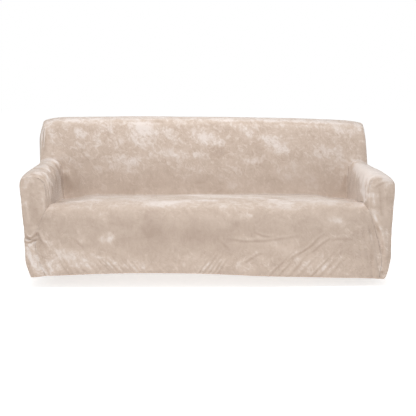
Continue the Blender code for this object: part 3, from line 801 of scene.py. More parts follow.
def make_panel(name, number):
    """A finished panel as a closed mesh object, velvet outside and knit inside."""
    points, faces, rims, places = cut_out(number)
    count = len(points)
    inner = points - THICKNESS * folded_normals[places]
    closed = list(faces)
    closed += [[corner + count for corner in reversed(face)] for face in faces]
    closed += [[two, one, one + count, two + count] for one, two in rims]
    mesh = bpy.data.meshes.new(name + "_cloth")
    mesh.from_pydata(np.concatenate([points, inner]).tolist(), [], closed)
    slots = [VELVET] * len(faces) + [BACKING] * len(faces) + [VELVET] * len(rims)
    mesh.polygons.foreach_set("material_index", slots)
    mesh.polygons.foreach_set("use_smooth", [True] * len(closed))
    mesh.validate()
    panel = bpy.data.objects.new(name + "_cloth", mesh)
    bpy.context.scene.collection.objects.link(panel)
    triangles = sum(len(face) - 2 for face in closed)
    print(f"  {panel.name}: {triangles} triangles")
    return panel, places


cloth = {name: make_panel(name, number) for number, name in enumerate(PANELS)}
print("panels cut", round(time.time() - started, 1), "s")

# %% [markdown]
# ## Brush the nap and paint its light and shade
# Plush velvet looks light where its pile lies towards you and dark where it leans away,
# so a hand or a fold leaves marks on it. On this cover the top of the back is brushed
# all over in light, ragged patches. The bottom of the back and the middle of the front
# are smoother and darker, and part of that darkness is painted shade. The bright seat's
# rear edge and tops of the arms are painted highlights. An image of the marks would fit
# one view only. Instead they are kept in the mesh, as three numbers at each point:
# `nap`, how light the pile lies together with the painted light and
# shade, `brushed`, how ragged it is, and `level`, how level the cloth lies, because a
# hand strokes it from side to side there.

# %% The pile's own lie in each part
Lie = namedtuple("Lie", "nap brushed")
LIE_OF = {               # what each part adds to the nap and to the brushing
    "all over": Lie(0.400, 0.60),
    "fronts of the arms": Lie(-0.050, 0.00),
    "back": Lie(0.145, -0.22),
    "top half of the back": Lie(-0.055, 0.50),
    "front": Lie(-0.040, -0.15),
    "apron": Lie(0.050, 0.30),
    "ends of the apron": Lie(0.000, 0.40),
    # painted highlight: parts whose faces look up are made lighter, as the lamp above lights them
    "painted highlight on level tops": Lie(0.200, -0.05),
}
BORDERS = ((0.13, 40, 0.05), (0.05, 41, 0.02))   # size, turn and reach of their waves


def shares_of(points, upwards):
    """How much of each part of the cover each point belongs to, from 0 to 1.

    The parts run into each other between two places, in metres, with an uneven border.
    """
    x, y, z = points.T
    for size, turn, reach in BORDERS:
        z = z + reach * lumps(points, size, turn)
    back = ramp(y, -0.27, -0.22) * ramp(-np.abs(x), -1.02, -0.98)
    front = ramp(-y, 0.72, 0.76) * ramp(-z, 0.44, 0.49)
    return {
        "all over": np.ones(len(points)),
        "fronts of the arms": ramp(-y, 0.74, 0.77) * ramp(np.abs(x), 0.88, 0.91),
        "back": back,
        "top half of the back": back * ramp(z, -0.40, -0.16),
        "front": front,
        "apron": front * ramp(-z, 0.65, 0.74),
        "ends of the apron": front * ramp(np.abs(x + 0.07), 0.66, 0.80) * ramp(-z, 0.50, 0.60),
        "painted highlight on level tops": ramp(upwards, 0.55, 0.90),
    }


shares = shares_of(at_rest, normals[:, 2])
nap = sum(LIE_OF[part].nap * share for part, share in shares.items())
brushed = sum(LIE_OF[part].brushed * share for part, share in shares.items())
level = ramp(normals[:, 2], 0.75, 0.95)
print("average nap before any stroke:", round(nap.mean(), 3))

# %% [markdown]
# On top of that come the marks that stand out: each is a brush stroke with a start, an
# end, a width and a gain, which is below 0 where the stroke darkens. Some strokes are
# light or dark patches of the pile, and many paint light and shade: painted highlights
# on the seat's crown and along the tops and edges of the arms, painted shade low on the
# back, inside the left arm, in the crevice by the right arm and across the middle of the
# front, and light and dark pairs that paint the two sides of folds. The strokes are
# soft, and the ragged outline comes from moving the points about a little before their
# distance to the stroke is measured. The points move less for a narrow stroke, or it
# would break up into dots.

# %% Strokes on the back, with painted shade along its bottom
Stroke = namedtuple("Stroke", "start end width gain")

BACK_PILE_AND_SHADE_STROKES = [
    Stroke((-0.46, -0.11, -0.04), (-0.36, -0.12, -0.08), 0.038, 0.35),
    Stroke((-0.65, -0.10, -0.02), (-0.58, -0.11, -0.06), 0.032, 0.30),
    Stroke((-0.68, -0.12, -0.10), (-0.65, -0.14, -0.14), 0.024, 0.45),
    Stroke((-0.79, -0.12, -0.09), (-0.76, -0.13, -0.11), 0.021, 0.40),
    Stroke((-0.78, -0.14, -0.16), (-0.72, -0.15, -0.19), 0.024, 0.35),
    Stroke((-0.97, -0.10, -0.04), (-0.95, -0.14, -0.13), 0.027, 0.25),
    Stroke((-0.56, -0.14, -0.13), (-0.51, -0.16, -0.21), 0.038, 0.25),
    Stroke((-0.43, -0.13, -0.10), (-0.36, -0.16, -0.21), 0.047, 0.30),
    Stroke((-0.62, -0.17, -0.24), (-0.44, -0.18, -0.27), 0.029, 0.30),
    Stroke((-0.67, -0.18, -0.30), (-0.65, -0.18, -0.30), 0.015, 0.30),
    Stroke((-0.80, -0.18, -0.29), (-0.78, -0.18, -0.30), 0.015, 0.25),
    Stroke((-0.88, -0.08, -0.01), (-0.72, -0.09, -0.02), 0.018, 0.20),
    Stroke((-0.40, -0.12, -0.06), (-0.19, -0.13, -0.11), 0.041, 0.30),
    Stroke((-0.08, -0.12, -0.10), (0.09, -0.14, -0.14), 0.035, 0.50),
    Stroke((-0.25, -0.16, -0.21), (-0.02, -0.16, -0.23), 0.032, 0.40),
    Stroke((0.23, -0.12, -0.06), (0.28, -0.13, -0.12), 0.024, 0.35),
    Stroke((0.38, -0.13, -0.12), (0.48, -0.15, -0.18), 0.041, 0.50),
    Stroke((0.26, -0.17, -0.25), (0.34, -0.17, -0.26), 0.021, 0.40),
    Stroke((0.36, -0.21, -0.41), (0.40, -0.22, -0.42), 0.018, 0.25),
    Stroke((0.10, -0.20, -0.36), (0.16, -0.21, -0.40), 0.029, 0.22),
    Stroke((-0.16, -0.18, -0.30), (-0.04, -0.19, -0.33), 0.035, 0.15),
    Stroke((0.06, -0.08, -0.01), (0.18, -0.11, -0.04), 0.029, 0.30),
    Stroke((0.40, -0.09, -0.03), (0.50, -0.08, -0.02), 0.024, 0.30),
    Stroke((0.59, -0.09, -0.03), (0.78, -0.09, -0.03), 0.029, 0.20),
    Stroke((0.81, -0.11, -0.06), (0.94, -0.11, -0.08), 0.035, 0.25),
    Stroke((0.71, -0.15, -0.20), (0.87, -0.17, -0.26), 0.065, 0.20),
    Stroke((0.52, -0.18, -0.29), (0.65, -0.20, -0.38), 0.053, 0.12),
    # painted shade: these four dark strokes run along the bottom of the back, where it meets the seat
    Stroke((-0.04, -0.20, -0.38), (0.10, -0.22, -0.44), 0.053, -0.30),
    Stroke((-0.33, -0.20, -0.36), (-0.20, -0.21, -0.42), 0.047, -0.25),
    Stroke((-0.66, -0.20, -0.37), (-0.47, -0.22, -0.43), 0.053, -0.18),
    Stroke((-0.86, -0.21, -0.37), (-0.78, -0.22, -0.43), 0.035, -0.15),
    Stroke((-0.17, -0.14, -0.16), (-0.12, -0.16, -0.21), 0.029, -0.20),
    Stroke((0.04, -0.15, -0.18), (0.09, -0.16, -0.22), 0.027, -0.18),
    Stroke((0.31, -0.14, -0.16), (0.35, -0.16, -0.21), 0.027, -0.18),
    Stroke((0.35, -0.18, -0.29), (0.43, -0.20, -0.38), 0.035, -0.15),
]
print(len(BACK_PILE_AND_SHADE_STROKES), "strokes on the back")

# %% Strokes on the seat and the front, with painted highlight and shade
FRONT_PILE_LIGHT_AND_SHADE_STROKES = [
    # partly light patches of the pile, partly painted highlight: these seven light strokes lie on top of
    # the seat, where its crown catches the light
    Stroke((-0.82, -0.64, -0.42), (-0.62, -0.67, -0.41), 0.027, 0.45),
    Stroke((-0.62, -0.55, -0.42), (-0.34, -0.68, -0.41), 0.018, 0.30),
    Stroke((-0.34, -0.57, -0.42), (-0.04, -0.54, -0.42), 0.018, 0.35),
    Stroke((-0.04, -0.59, -0.41), (0.31, -0.64, -0.41), 0.020, 0.40),
    Stroke((-0.34, -0.74, -0.43), (-0.19, -0.74, -0.43), 0.018, 0.45),
    Stroke((0.36, -0.69, -0.42), (0.45, -0.73, -0.42), 0.024, 0.55),
    Stroke((0.46, -0.67, -0.41), (0.74, -0.71, -0.42), 0.024, 0.40),
    Stroke((0.09, -0.76, -0.44), (0.12, -0.80, -0.50), 0.029, 0.40),
    Stroke((0.18, -0.80, -0.48), (0.22, -0.80, -0.49), 0.021, 0.50),
    Stroke((0.27, -0.81, -0.59), (0.29, -0.81, -0.59), 0.012, 0.50),
    Stroke((-0.58, -0.81, -0.605), (-0.53, -0.81, -0.605), 0.022, 1.00),
    Stroke((-0.57, -0.79, -0.47), (-0.55, -0.81, -0.52), 0.024, 0.30),
    Stroke((-0.71, -0.80, -0.56), (-0.69, -0.80, -0.60), 0.015, 0.25),
    Stroke((0.67, -0.80, -0.50), (0.73, -0.79, -0.53), 0.029, 0.50),
    Stroke((0.39, -0.74, -0.43), (0.44, -0.77, -0.45), 0.024, 0.35),
    Stroke((0.50, -0.80, -0.48), (0.58, -0.81, -0.53), 0.047, 0.15),
    Stroke((-0.79, -0.79, -0.68), (-0.66, -0.79, -0.76), 0.047, 0.40),
    Stroke((-0.61, -0.80, -0.70), (-0.50, -0.80, -0.75), 0.035, 0.35),
    Stroke((-0.87, -0.78, -0.74), (-0.83, -0.78, -0.79), 0.029, 0.30),
    Stroke((-0.44, -0.80, -0.74), (-0.32, -0.80, -0.77), 0.024, 0.25),
    Stroke((0.34, -0.81, -0.64), (0.44, -0.81, -0.68), 0.035, 0.35),
    Stroke((0.25, -0.81, -0.70), (0.32, -0.80, -0.74), 0.027, 0.30),
    Stroke((0.12, -0.80, -0.74), (0.23, -0.80, -0.78), 0.027, 0.22),
    Stroke((0.51, -0.80, -0.74), (0.67, -0.79, -0.77), 0.035, 0.20),
    Stroke((-0.16, -0.81, -0.72), (-0.02, -0.80, -0.74), 0.029, 0.18),
    # painted shade: these three dark strokes run across the middle of the front, under the seat's edge
    Stroke((-0.32, -0.81, -0.57), (0.09, -0.81, -0.61), 0.059, -0.35),
    Stroke((-0.53, -0.81, -0.53), (-0.32, -0.81, -0.58), 0.047, -0.18),
    Stroke((0.12, -0.81, -0.53), (0.50, -0.81, -0.55), 0.041, -0.12),
    # painted shade in the crevice where the seat meets the right arm
    Stroke((0.86, -0.23, -0.44), (0.84, -0.54, -0.42), 0.024, -0.25),
    # painted highlight: the light strokes from here to the end run along the seat's crown and top, the
    # bright line and band it catches at a slant
    Stroke((-0.64, -0.56, -0.42), (-0.40, -0.44, -0.43), 0.028, 0.45),
    Stroke((-0.40, -0.44, -0.43), (-0.24, -0.45, -0.43), 0.026, 0.50),
    Stroke((-0.24, -0.47, -0.43), (0.10, -0.53, -0.42), 0.026, 0.50),
    Stroke((0.10, -0.50, -0.42), (0.45, -0.54, -0.42), 0.028, 0.45),
    Stroke((-0.37, -0.60, -0.42), (-0.30, -0.66, -0.42), 0.028, 0.55),
    Stroke((-0.32, -0.71, -0.42), (-0.16, -0.72, -0.42), 0.018, 0.60),
    Stroke((-0.14, -0.70, -0.42), (0.02, -0.69, -0.42), 0.016, 0.55),
    Stroke((-0.70, -0.53, -0.42), (-0.51, -0.47, -0.43), 0.012, 0.50),
    Stroke((-0.51, -0.47, -0.43), (-0.34, -0.50, -0.42), 0.011, 0.50),
    Stroke((0.46, -0.60, -0.41), (0.62, -0.64, -0.41), 0.013, 0.50),
    Stroke((0.62, -0.64, -0.41), (0.78, -0.69, -0.42), 0.013, 0.50),
]
print(len(FRONT_PILE_LIGHT_AND_SHADE_STROKES), "strokes on the seat and the front")

# %% Strokes on the arms, most of them painted light and shade
ARM_PILE_LIGHT_AND_SHADE_STROKES = [
    # Most of these strokes paint light and shade: painted highlights along the tops and edges of the arms
    # and on the inside of the right arm, painted shade inside the left arm and down the middle of its
    # front, and light and dark pairs that paint the sides of folds, gathers and pleats. A few are light
    # patches of the pile.
    Stroke((-1.00, -0.76, -0.27), (-0.88, -0.76, -0.32), 0.024, 0.25),
    Stroke((-1.00, -0.59, -0.26), (-0.92, -0.42, -0.25), 0.027, 0.35),
    Stroke((-0.98, -0.22, -0.24), (-0.90, -0.24, -0.25), 0.030, 0.40),
    Stroke((-0.98, -0.78, -0.37), (-0.97, -0.78, -0.48), 0.029, 0.20),
    Stroke((-1.00, -0.78, -0.66), (-0.97, -0.78, -0.78), 0.027, 0.25),
    Stroke((-0.88, -0.64, -0.31), (-0.87, -0.65, -0.41), 0.015, 0.15),
    # painted shade inside the left arm, low down by the seat
    Stroke((-0.88, -0.28, -0.35), (-0.87, -0.62, -0.41), 0.055, -1.50),
    Stroke((0.87, -0.66, -0.34), (0.87, -0.73, -0.43), 0.015, 0.60),
    Stroke((0.95, -0.38, -0.26), (0.99, -0.75, -0.28), 0.024, 0.35),
    Stroke((0.89, -0.78, -0.32), (0.93, -0.78, -0.43), 0.027, 0.20),
    Stroke((0.93, -0.78, -0.49), (0.98, -0.78, -0.63), 0.027, 0.20),
    Stroke((0.95, -0.77, -0.66), (0.98, -0.78, -0.79), 0.027, 0.25),
    # painted shade down the middle of the left arm's front, and painted highlights on its rounded edges in
    # the next two rows
    Stroke((-0.96, -0.78, -0.37), (-0.95, -0.78, -0.50), 0.030, -0.30),
    Stroke((-0.92, -0.78, -0.33), (-0.91, -0.78, -0.46), 0.010, 0.15),
    Stroke((-1.01, -0.78, -0.34), (-0.98, -0.78, -0.29), 0.014, 0.35),
    # painted highlight along the inner edge of the left arm's top
    Stroke((-0.90, -0.60, -0.26), (-0.88, -0.72, -0.30), 0.012, 0.45),
    Stroke((-0.90, -0.22, -0.27), (-0.87, -0.21, -0.31), 0.016, 0.45),
    Stroke((-0.98, -0.77, -0.60), (-0.93, -0.77, -0.58), 0.012, -0.40),
    Stroke((-0.97, -0.77, -0.56), (-0.94, -0.77, -0.55), 0.012, 0.40),
    Stroke((-0.99, -0.77, -0.63), (-0.94, -0.77, -0.62), 0.010, 0.40),
    # painted highlight on the top and the inside of the right arm
    Stroke((0.90, -0.30, -0.27), (0.88, -0.72, -0.29), 0.040, 0.85),
    Stroke((0.93, -0.40, -0.26), (0.98, -0.74, -0.28), 0.050, 1.30),
    Stroke((0.885, -0.60, -0.32), (0.875, -0.72, -0.40), 0.040, 0.75),
    Stroke((-0.98, -0.77, -0.68), (-0.92, -0.78, -0.79), 0.050, 0.60),
    Stroke((-0.90, -0.78, -0.60), (-0.85, -0.79, -0.71), 0.035, 0.35),
    Stroke((-0.985, -0.60, -0.26), (-0.92, -0.70, -0.26), 0.020, 0.45),
    Stroke((-0.90, -0.66, -0.27), (-0.885, -0.70, -0.33), 0.014, 0.60),
    Stroke((0.90, -0.78, -0.45), (0.97, -0.78, -0.62), 0.010, 0.40),
    Stroke((0.90, -0.78, -0.60), (0.94, -0.78, -0.74), 0.010, 0.35),
    Stroke((-0.904, -0.777, -0.320), (-0.892, -0.777, -0.440), 0.007, 0.30),
    # painted light and shade from here on: light and dark strokes beside the folds of the left arm, down
    # the right arm's front and in the pleats at the left of the back paint their lit and shaded sides
    Stroke((-0.990, -0.640, -0.262), (-0.905, -0.665, -0.266), 0.009, 0.80),
    Stroke((-0.902, -0.665, -0.268), (-0.884, -0.600, -0.340), 0.009, 0.75),
    Stroke((-0.985, -0.560, -0.258), (-0.905, -0.600, -0.264), 0.010, -0.70),
    Stroke((-0.902, -0.600, -0.266), (-0.884, -0.540, -0.330), 0.009, -0.65),
    Stroke((-0.985, -0.480, -0.256), (-0.905, -0.530, -0.262), 0.012, 0.80),
    Stroke((-0.900, -0.530, -0.266), (-0.884, -0.450, -0.330), 0.010, 0.70),
    Stroke((-0.980, -0.400, -0.254), (-0.905, -0.440, -0.262), 0.011, -0.65),
    Stroke((-0.975, -0.310, -0.250), (-0.900, -0.350, -0.262), 0.014, 0.50),
    Stroke((-0.960, -0.740, -0.262), (-0.900, -0.735, -0.272), 0.009, -0.65),
    Stroke((-0.886, -0.715, -0.290), (-0.876, -0.690, -0.400), 0.009, 0.45),
    Stroke((-0.880, -0.660, -0.330), (-0.874, -0.640, -0.410), 0.008, 0.35),
    Stroke((0.905, -0.777, -0.360), (0.925, -0.778, -0.520), 0.007, 0.40),
    Stroke((0.935, -0.777, -0.340), (0.955, -0.778, -0.480), 0.008, -0.35),
    Stroke((0.970, -0.777, -0.360), (0.980, -0.778, -0.500), 0.008, 0.30),
    Stroke((0.930, -0.778, -0.560), (0.960, -0.778, -0.700), 0.008, -0.35),
    Stroke((0.985, -0.778, -0.560), (0.990, -0.778, -0.700), 0.007, 0.35),
    Stroke((-0.990, -0.776, -0.400), (-0.975, -0.777, -0.520), 0.009, 0.30),
    Stroke((-1.012, -0.100, -0.060), (-1.025, -0.125, -0.170), 0.008, 1.15),
    Stroke((-1.008, -0.112, -0.060), (-1.017, -0.135, -0.170), 0.0045, -0.40),
    Stroke((-1.000, -0.115, -0.060), (-1.008, -0.142, -0.170), 0.006, 1.05),
    Stroke((-0.993, -0.117, -0.080), (-0.999, -0.150, -0.190), 0.0045, -0.35),
]
print(len(ARM_PILE_LIGHT_AND_SHADE_STROKES), "strokes on the arms")

# %% [markdown]
# Now the strokes are brushed on. Each adds its gain, pile or painted light and shade, to
# the nap along its line, and fades out over its width. Painting them by hand in the
# viewport would do as well, but a table can be read, changed and run again.

# %% Brush the strokes onto the skin
STROKE_GAIN = 0.60       # raises or lowers all the strokes together
STROKE_REACH = 3         # a stroke is felt this many of its widths away
NARROW = 0.025           # the points move less for a stroke narrower than this
RAGGED = ((0.060, 0.022, 20), (0.022, 0.014, 30))   # size, reach and turn of each move


def brush(points, nap):
    """Adds every stroke, pile or painted light and shade, to the nap."""
    ragged = points
    for size, reach, turn in RAGGED:
        ragged = wander(ragged, size, reach, turn)
    for stroke in BACK_PILE_AND_SHADE_STROKES + FRONT_PILE_LIGHT_AND_SHADE_STROKES + ARM_PILE_LIGHT_AND_SHADE_STROKES:
        line = np.array([stroke.start, stroke.end])
        moved = points + min(1, stroke.width / NARROW) * (ragged - points)
        chosen, away, _ = measure_from(moved, line, STROKE_REACH * stroke.width)
        nearness = (away**2).sum(1) / stroke.width**2
        nap[chosen] += STROKE_GAIN * stroke.gain * np.exp(-nearness)


brush(at_rest, nap)
print("average nap with the strokes:", round(nap.mean(), 3))

# %% [markdown]
# The folds' light and shade are painted into the colour as well: the nap follows how far
# the folds have turned the skin's normals towards the lamps, so a fold's upper side is
# painted pale and its lower side painted deep. The pile beside a seam is pressed flat and
# shows pale too.

# %% Paint the folds' light and shade into the nap
LIGHT_SIDE = np.array([-0.15, -0.42, 0.90])   # up, towards the front and a little left
FOLD_LIGHT_AND_SHADE_GAIN = 1.15
SEAM_GAIN = 0.10
SEAM_BAND = 0.006        # how far from a seam the pile is pressed flat

# painted light and shade: a fold side turned towards LIGHT_SIDE is painted pale, one turned away is painted
# deep
nap += FOLD_LIGHT_AND_SHADE_GAIN * (folded_normals - normals) @ LIGHT_SIDE
nap += SEAM_GAIN * np.exp(-(from_seam / SEAM_BAND)**2)
nap, brushed = np.clip(nap, 0, 1), np.clip(brushed, 0, 1)
print("nap:", round(nap.min(), 2), "to", round(nap.max(), 2), "average", round(nap.mean(), 2))

# %% Keep the nap and its painted light and shade in the panels
MARKS = {"nap": nap, "brushed": brushed, "level": level}
for panel, places in cloth.values():
    for title, values in MARKS.items():
        attribute = panel.data.attributes.new(title, "FLOAT", "POINT")
        both_faces = np.tile(values[places], 2)
        attribute.data.foreach_set("value", both_faces.astype(np.float32))
print("kept at each point:", ", ".join(MARKS))

# %% [markdown]
# ## The velvet
# The cloth is a knit with a dense, short pile. Seen from above the pile is matte, and at
# a slant its tips catch the light, which is what Blender's sheen is for. The colour runs
# from a deeper beige, where you look into the pile, to a pale one on its tips.
# `nap` picks the place on that run, so its deep and pale ends also show
# the painted shade and highlights. Three sizes of noise break it up: soft clouds a hand
# wide, ragged flecks a fingertip wide, and the pile itself.

# %% Start a material
def new_material(name, roughness, sheen, sheen_roughness, specular):
    """A material with the numbers set that are the same all over."""
    material = bpy.data.materials.new(name)
    material.use_nodes = True
    shader = material.node_tree.nodes["Principled BSDF"]
    shader.inputs["Roughness"].default_value = roughness
    shader.inputs["Sheen Weight"].default_value = sheen
    shader.inputs["Sheen Roughness"].default_value = sheen_roughness
    shader.inputs["Specular IOR Level"].default_value = specular
    return material, material.node_tree, shader


def plug(tree, socket, value):
    """Sets a socket to a number, or links another node's output to it."""
    if hasattr(value, "links"):
        tree.links.new(value, socket)
    else:
        socket.default_value = value


def calculate(tree, operation, one, two=0.0, three=0.0):
    """A Math node's output."""
    node = tree.nodes.new("ShaderNodeMath")
    node.operation = operation
    for socket, value in zip(node.inputs, (one, two, three)):
        plug(tree, socket, value)
    return node.outputs[0]


def kept_number(tree, title):
    """A number that is kept at each point of the mesh."""
    node = tree.nodes.new("ShaderNodeAttribute")
    node.attribute_name = title
    return node.outputs["Fac"]


SHEEN_TINT = (1.0, 0.95, 0.91, 1)

velvet, velvet_tree, velvet_shader = new_material(
    "crushed_velvet", roughness=0.85, sheen=0.50, sheen_roughness=0.30, specular=0.10
)
velvet_shader.inputs["Sheen Tint"].default_value = SHEEN_TINT
print("started", velvet.name)

# %% [markdown]
# ### Noise, colours and relief
# Every pattern in the cover is noise: on velvet nothing repeats. A grain says how coarse
# a noise is, how ragged, and which way it is stretched. It reads the piece's own
# coordinates, so it stays on the cloth from every side, and needs no unwrapping.

# %% Helpers for noise, colours and relief
Grain = namedtuple("Grain", "scale detail rough distortion stretch turn",
                   defaults=(0.5, 0.0, (1, 1, 1), (0, 0, 0)))


def noise(tree, grain):
    """Noise from 0 to 1 with a grain."""
    place = tree.nodes.new("ShaderNodeTexCoord").outputs["Object"]
    mapping = tree.nodes.new("ShaderNodeMapping")
    mapping.vector_type = "TEXTURE"
    mapping.inputs["Scale"].default_value = grain.stretch
    mapping.inputs["Rotation"].default_value = grain.turn
    tree.links.new(place, mapping.inputs["Vector"])
    node = tree.nodes.new("ShaderNodeTexNoise")
    tree.links.new(mapping.outputs["Vector"], node.inputs["Vector"])
    node.inputs["Scale"].default_value = grain.scale
    node.inputs["Detail"].default_value = grain.detail
    node.inputs["Roughness"].default_value = grain.rough
    node.inputs["Distortion"].default_value = grain.distortion
    return node.outputs["Fac"]


def between(tree, value, low, high):
    """The value's place between low and high, held between 0 and 1."""
    node = tree.nodes.new("ShaderNodeMapRange")
    node.inputs["From Min"].default_value = low
    node.inputs["From Max"].default_value = high
    node.interpolation_type = "SMOOTHSTEP"
    tree.links.new(value, node.inputs["Value"])
    return node.outputs["Result"]


def colour_run(tree, value, stops):
    """A colour picked from a run of (place, colour) stops."""
    node = tree.nodes.new("ShaderNodeValToRGB")
    run = node.color_ramp.elements
    while len(run) < len(stops):
        run.new(0.5)
    for stop, (place, colour) in zip(run, stops):
        stop.position = place
        stop.color = (*colour, 1)
    tree.links.new(value, node.inputs["Fac"])
    return node.outputs["Color"]


def raised(tree, height, distance, below=None):
    """A Bump node's normal."""
    node = tree.nodes.new("ShaderNodeBump")
    node.inputs["Distance"].default_value = distance
    tree.links.new(height, node.inputs["Height"])
    if below is not None:
        tree.links.new(below, node.inputs["Normal"])
    return node.outputs["Normal"]


print("a grain is made of", ", ".join(Grain._fields))

# %% [markdown]
# The flecks are noise cut off below a threshold, so that only its peaks show, as light
# marks with ragged ends. `nap` lifts the noise as a whole, so flecks
# crowd together where the pile lies light or light is painted, and are rare where it
# lies dark or shade is painted. They are strong where `brushed` is high. Thin streaks
# come from noise that is squeezed in one direction.

# %% Grains and colours of the velvet
SLANT = (0, math.radians(-38), 0)
GRAINS = {
    "clouds": Grain(11, 4, 0.6, 0.7, (1.3, 1, 1)),
    "flecks": Grain(30, 6, 0.66, 1.0, (1, 1, 1.45), SLANT),
    "small flecks": Grain(85, 4, 0.6, 0.8),
    "upright streaks": Grain(60, 4, 0.6, 0.4, (1, 1, 3.5)),
    "long streaks": Grain(52, 4, 0.6, 0.3, (5.0, 1, 1)),
    "creases": Grain(26, 3, 0.5, 1.6, (1, 1, 1.5), SLANT),
    "pile": Grain(950, 2, 0.6),
}
TONE_OF = {              # how much each layer lightens or deepens the colour
    "nap": 0.75,
    "clouds": 0.60,
    "flecks": 0.38,
    "small flecks": 0.20,
    "creases": -0.15,
    "upright streaks": 0.26,
    "long streaks": 0.55,
    "pile": 0.10,
}
LIFT_BY_NAP_AND_LIGHT = (0.42, -0.19)   # gain and start: the nap lifts the flecks' noise
FLECK_EDGE = (0.50, 0.68)     # the noise under which a fleck starts, and over which it is full
SMALL_FLECK_EDGE = (0.54, 0.72)
CREASE_WIDTH = 0.045
FLECK_RELIEF, PILE_RELIEF = 0.0006, 0.0004
DEEP, MIDDLE, PALE = (0.385, 0.300, 0.245), (0.520, 0.425, 0.358), (0.658, 0.590, 0.549)
print(len(GRAINS), "grains, the finest about", round(1000 / GRAINS["pile"].scale, 1), "mm wide")

# %% Crushed velvet
def crushed_velvet(tree, shader):
    """Builds the velvet's nodes."""
    nap_and_light_here, brushed_here, level_here = (kept_number(tree, title) for title in MARKS)
    grain = {title: noise(tree, each) for title, each in GRAINS.items()}

    def centred(title):
        """A grain's noise, from -0.5 to 0.5."""
        return calculate(tree, "SUBTRACT", grain[title], 0.5)

    lift = calculate(tree, "MULTIPLY_ADD", nap_and_light_here, *LIFT_BY_NAP_AND_LIGHT)
    flecks = between(tree, calculate(tree, "ADD", grain["flecks"], lift), *FLECK_EDGE)
    small = between(tree, calculate(tree, "ADD", grain["small flecks"], lift), *SMALL_FLECK_EDGE)
    creases = between(tree, calculate(tree, "ABSOLUTE", centred("creases")), CREASE_WIDTH, 0.0)
    streaks = centred("upright streaks")

    tone = calculate(tree, "MULTIPLY", nap_and_light_here, TONE_OF["nap"])
    for title, layer, where in (
        ("clouds", centred("clouds"), None),
        ("flecks", flecks, brushed_here),
        ("small flecks", small, brushed_here),
        ("creases", creases, brushed_here),
        ("upright streaks", streaks, None),
        ("long streaks", centred("long streaks"), level_here),
        ("pile", centred("pile"), None),
    ):
        if where is not None:
            layer = calculate(tree, "MULTIPLY", layer, where)
        tone = calculate(tree, "MULTIPLY_ADD", layer, TONE_OF[title], tone)
    colour = colour_run(tree, tone, ((0.0, DEEP), (0.45, MIDDLE), (1.0, PALE)))
    tree.links.new(colour, shader.inputs["Base Color"])
    soft = raised(tree, calculate(tree, "ADD", flecks, streaks), FLECK_RELIEF)
    tree.links.new(raised(tree, grain["pile"], PILE_RELIEF, soft), shader.inputs["Normal"])


crushed_velvet(velvet_tree, velvet_shader)
print("velvet:", len(velvet_tree.nodes), "nodes")

# %% [markdown]
# Inside, the cover shows the plain back of the knit: fine upright ribs a millimetre
# wide, matte, a shade paler than the velvet.

# %% Knit backing
RIB_SCALE = 160          # ribs 2 mm apart
RIB_WANDER, RIB_DETAIL = 0.8, 2.0
RIB_SHARE = 0.35         # how much of the colour follows the ribs
RIB_GRAIN = Grain(14, 4)
RIB_DEEP, RIB_PALE = (0.47, 0.39, 0.33), (0.60, 0.52, 0.45)
RIB_RELIEF = 0.0004


def knit_backing():
    """The material of the cover's inside."""
    material, tree, shader = new_material(
        "knit_backing", roughness=0.95, sheen=0.1, sheen_roughness=0.5, specular=0.1
    )
    place = tree.nodes.new("ShaderNodeTexCoord").outputs["Object"]
    ribs = tree.nodes.new("ShaderNodeTexWave")
    ribs.inputs["Scale"].default_value = RIB_SCALE
    ribs.inputs["Distortion"].default_value = RIB_WANDER
    ribs.inputs["Detail Scale"].default_value = RIB_DETAIL
    tree.links.new(place, ribs.inputs["Vector"])
    tone = calculate(tree, "MULTIPLY_ADD", ribs.outputs["Fac"], RIB_SHARE,
                     noise(tree, RIB_GRAIN))
    colour = colour_run(tree, tone, ((0.2, RIB_DEEP), (1.0, RIB_PALE)))
    tree.links.new(colour, shader.inputs["Base Color"])
    tree.links.new(raised(tree, ribs.outputs["Fac"], RIB_RELIEF), shader.inputs["Normal"])
    return material


backing = knit_backing()
for panel, _ in cloth.values():
    panel.data.materials.append(velvet)
    panel.data.materials.append(backing)
print("materials on", len(cloth), "panels:", velvet.name, backing.name)

# %% [markdown]
# ## The hem's stitches
# The hem is turned up and sewn down with a row of lockstitches 14 mm above its edge. A
# stitch is the same short bead of thread over and over, along a path, which is a job for
# Geometry Nodes. Modelling the row as one tube would be lighter, but up close a row of
# stitches reads as sewing and a tube as piping. First comes the path: each point of the
# hem's edge is moved up across the cloth, and set down on its outer face.

# %% Find the stitching line
HEM_HEIGHT = 0.014       # from the hem's edge up to the stitches
THREAD_LIFT = 0.0002     # how far the thread's middle lies over the cloth
surface = BVHTree.FromBMesh(skin)


def hem_chain(number):
    """The points of the skin along a panel's hem, in order, or an empty list."""
    after = {}
    for edge in skin.edges:
        if edge.is_boundary and edge.link_faces[0].material_index == number:
            loop = edge.link_loops[0]
            after[loop.vert.index] = loop.link_loop_next.vert.index
    starts = [point for point in after if point not in set(after.values())]
    if not starts:
        return []
    chain = [starts[0]]
    while chain[-1] in after:
        chain.append(after[chain[-1]])
    return chain


def stitching_line(chain):
    """The chain moved up the cloth to where the hem is sewn."""
    edge_line, outward = folded[chain], folded_normals[chain][1:-1]
    line = []
    for place, ahead, behind, normal in zip(edge_line[1:-1], edge_line[2:], edge_line[:-2],
                                            outward):
        up = np.cross(normal, ahead - behind)
        up *= np.sign(up[2]) / np.linalg.norm(up)
        place_on, outwards, _, _ = surface.find_nearest(Vector(place + HEM_HEIGHT * up))
        line.append(place_on + THREAD_LIFT * outwards)
    return line


chains = {name: hem_chain(number) for number, name in enumerate(PANELS)}
hem_lines = {name: stitching_line(chain) for name, chain in chains.items() if chain}
print("hems:", {name: len(line) for name, line in hem_lines.items()})

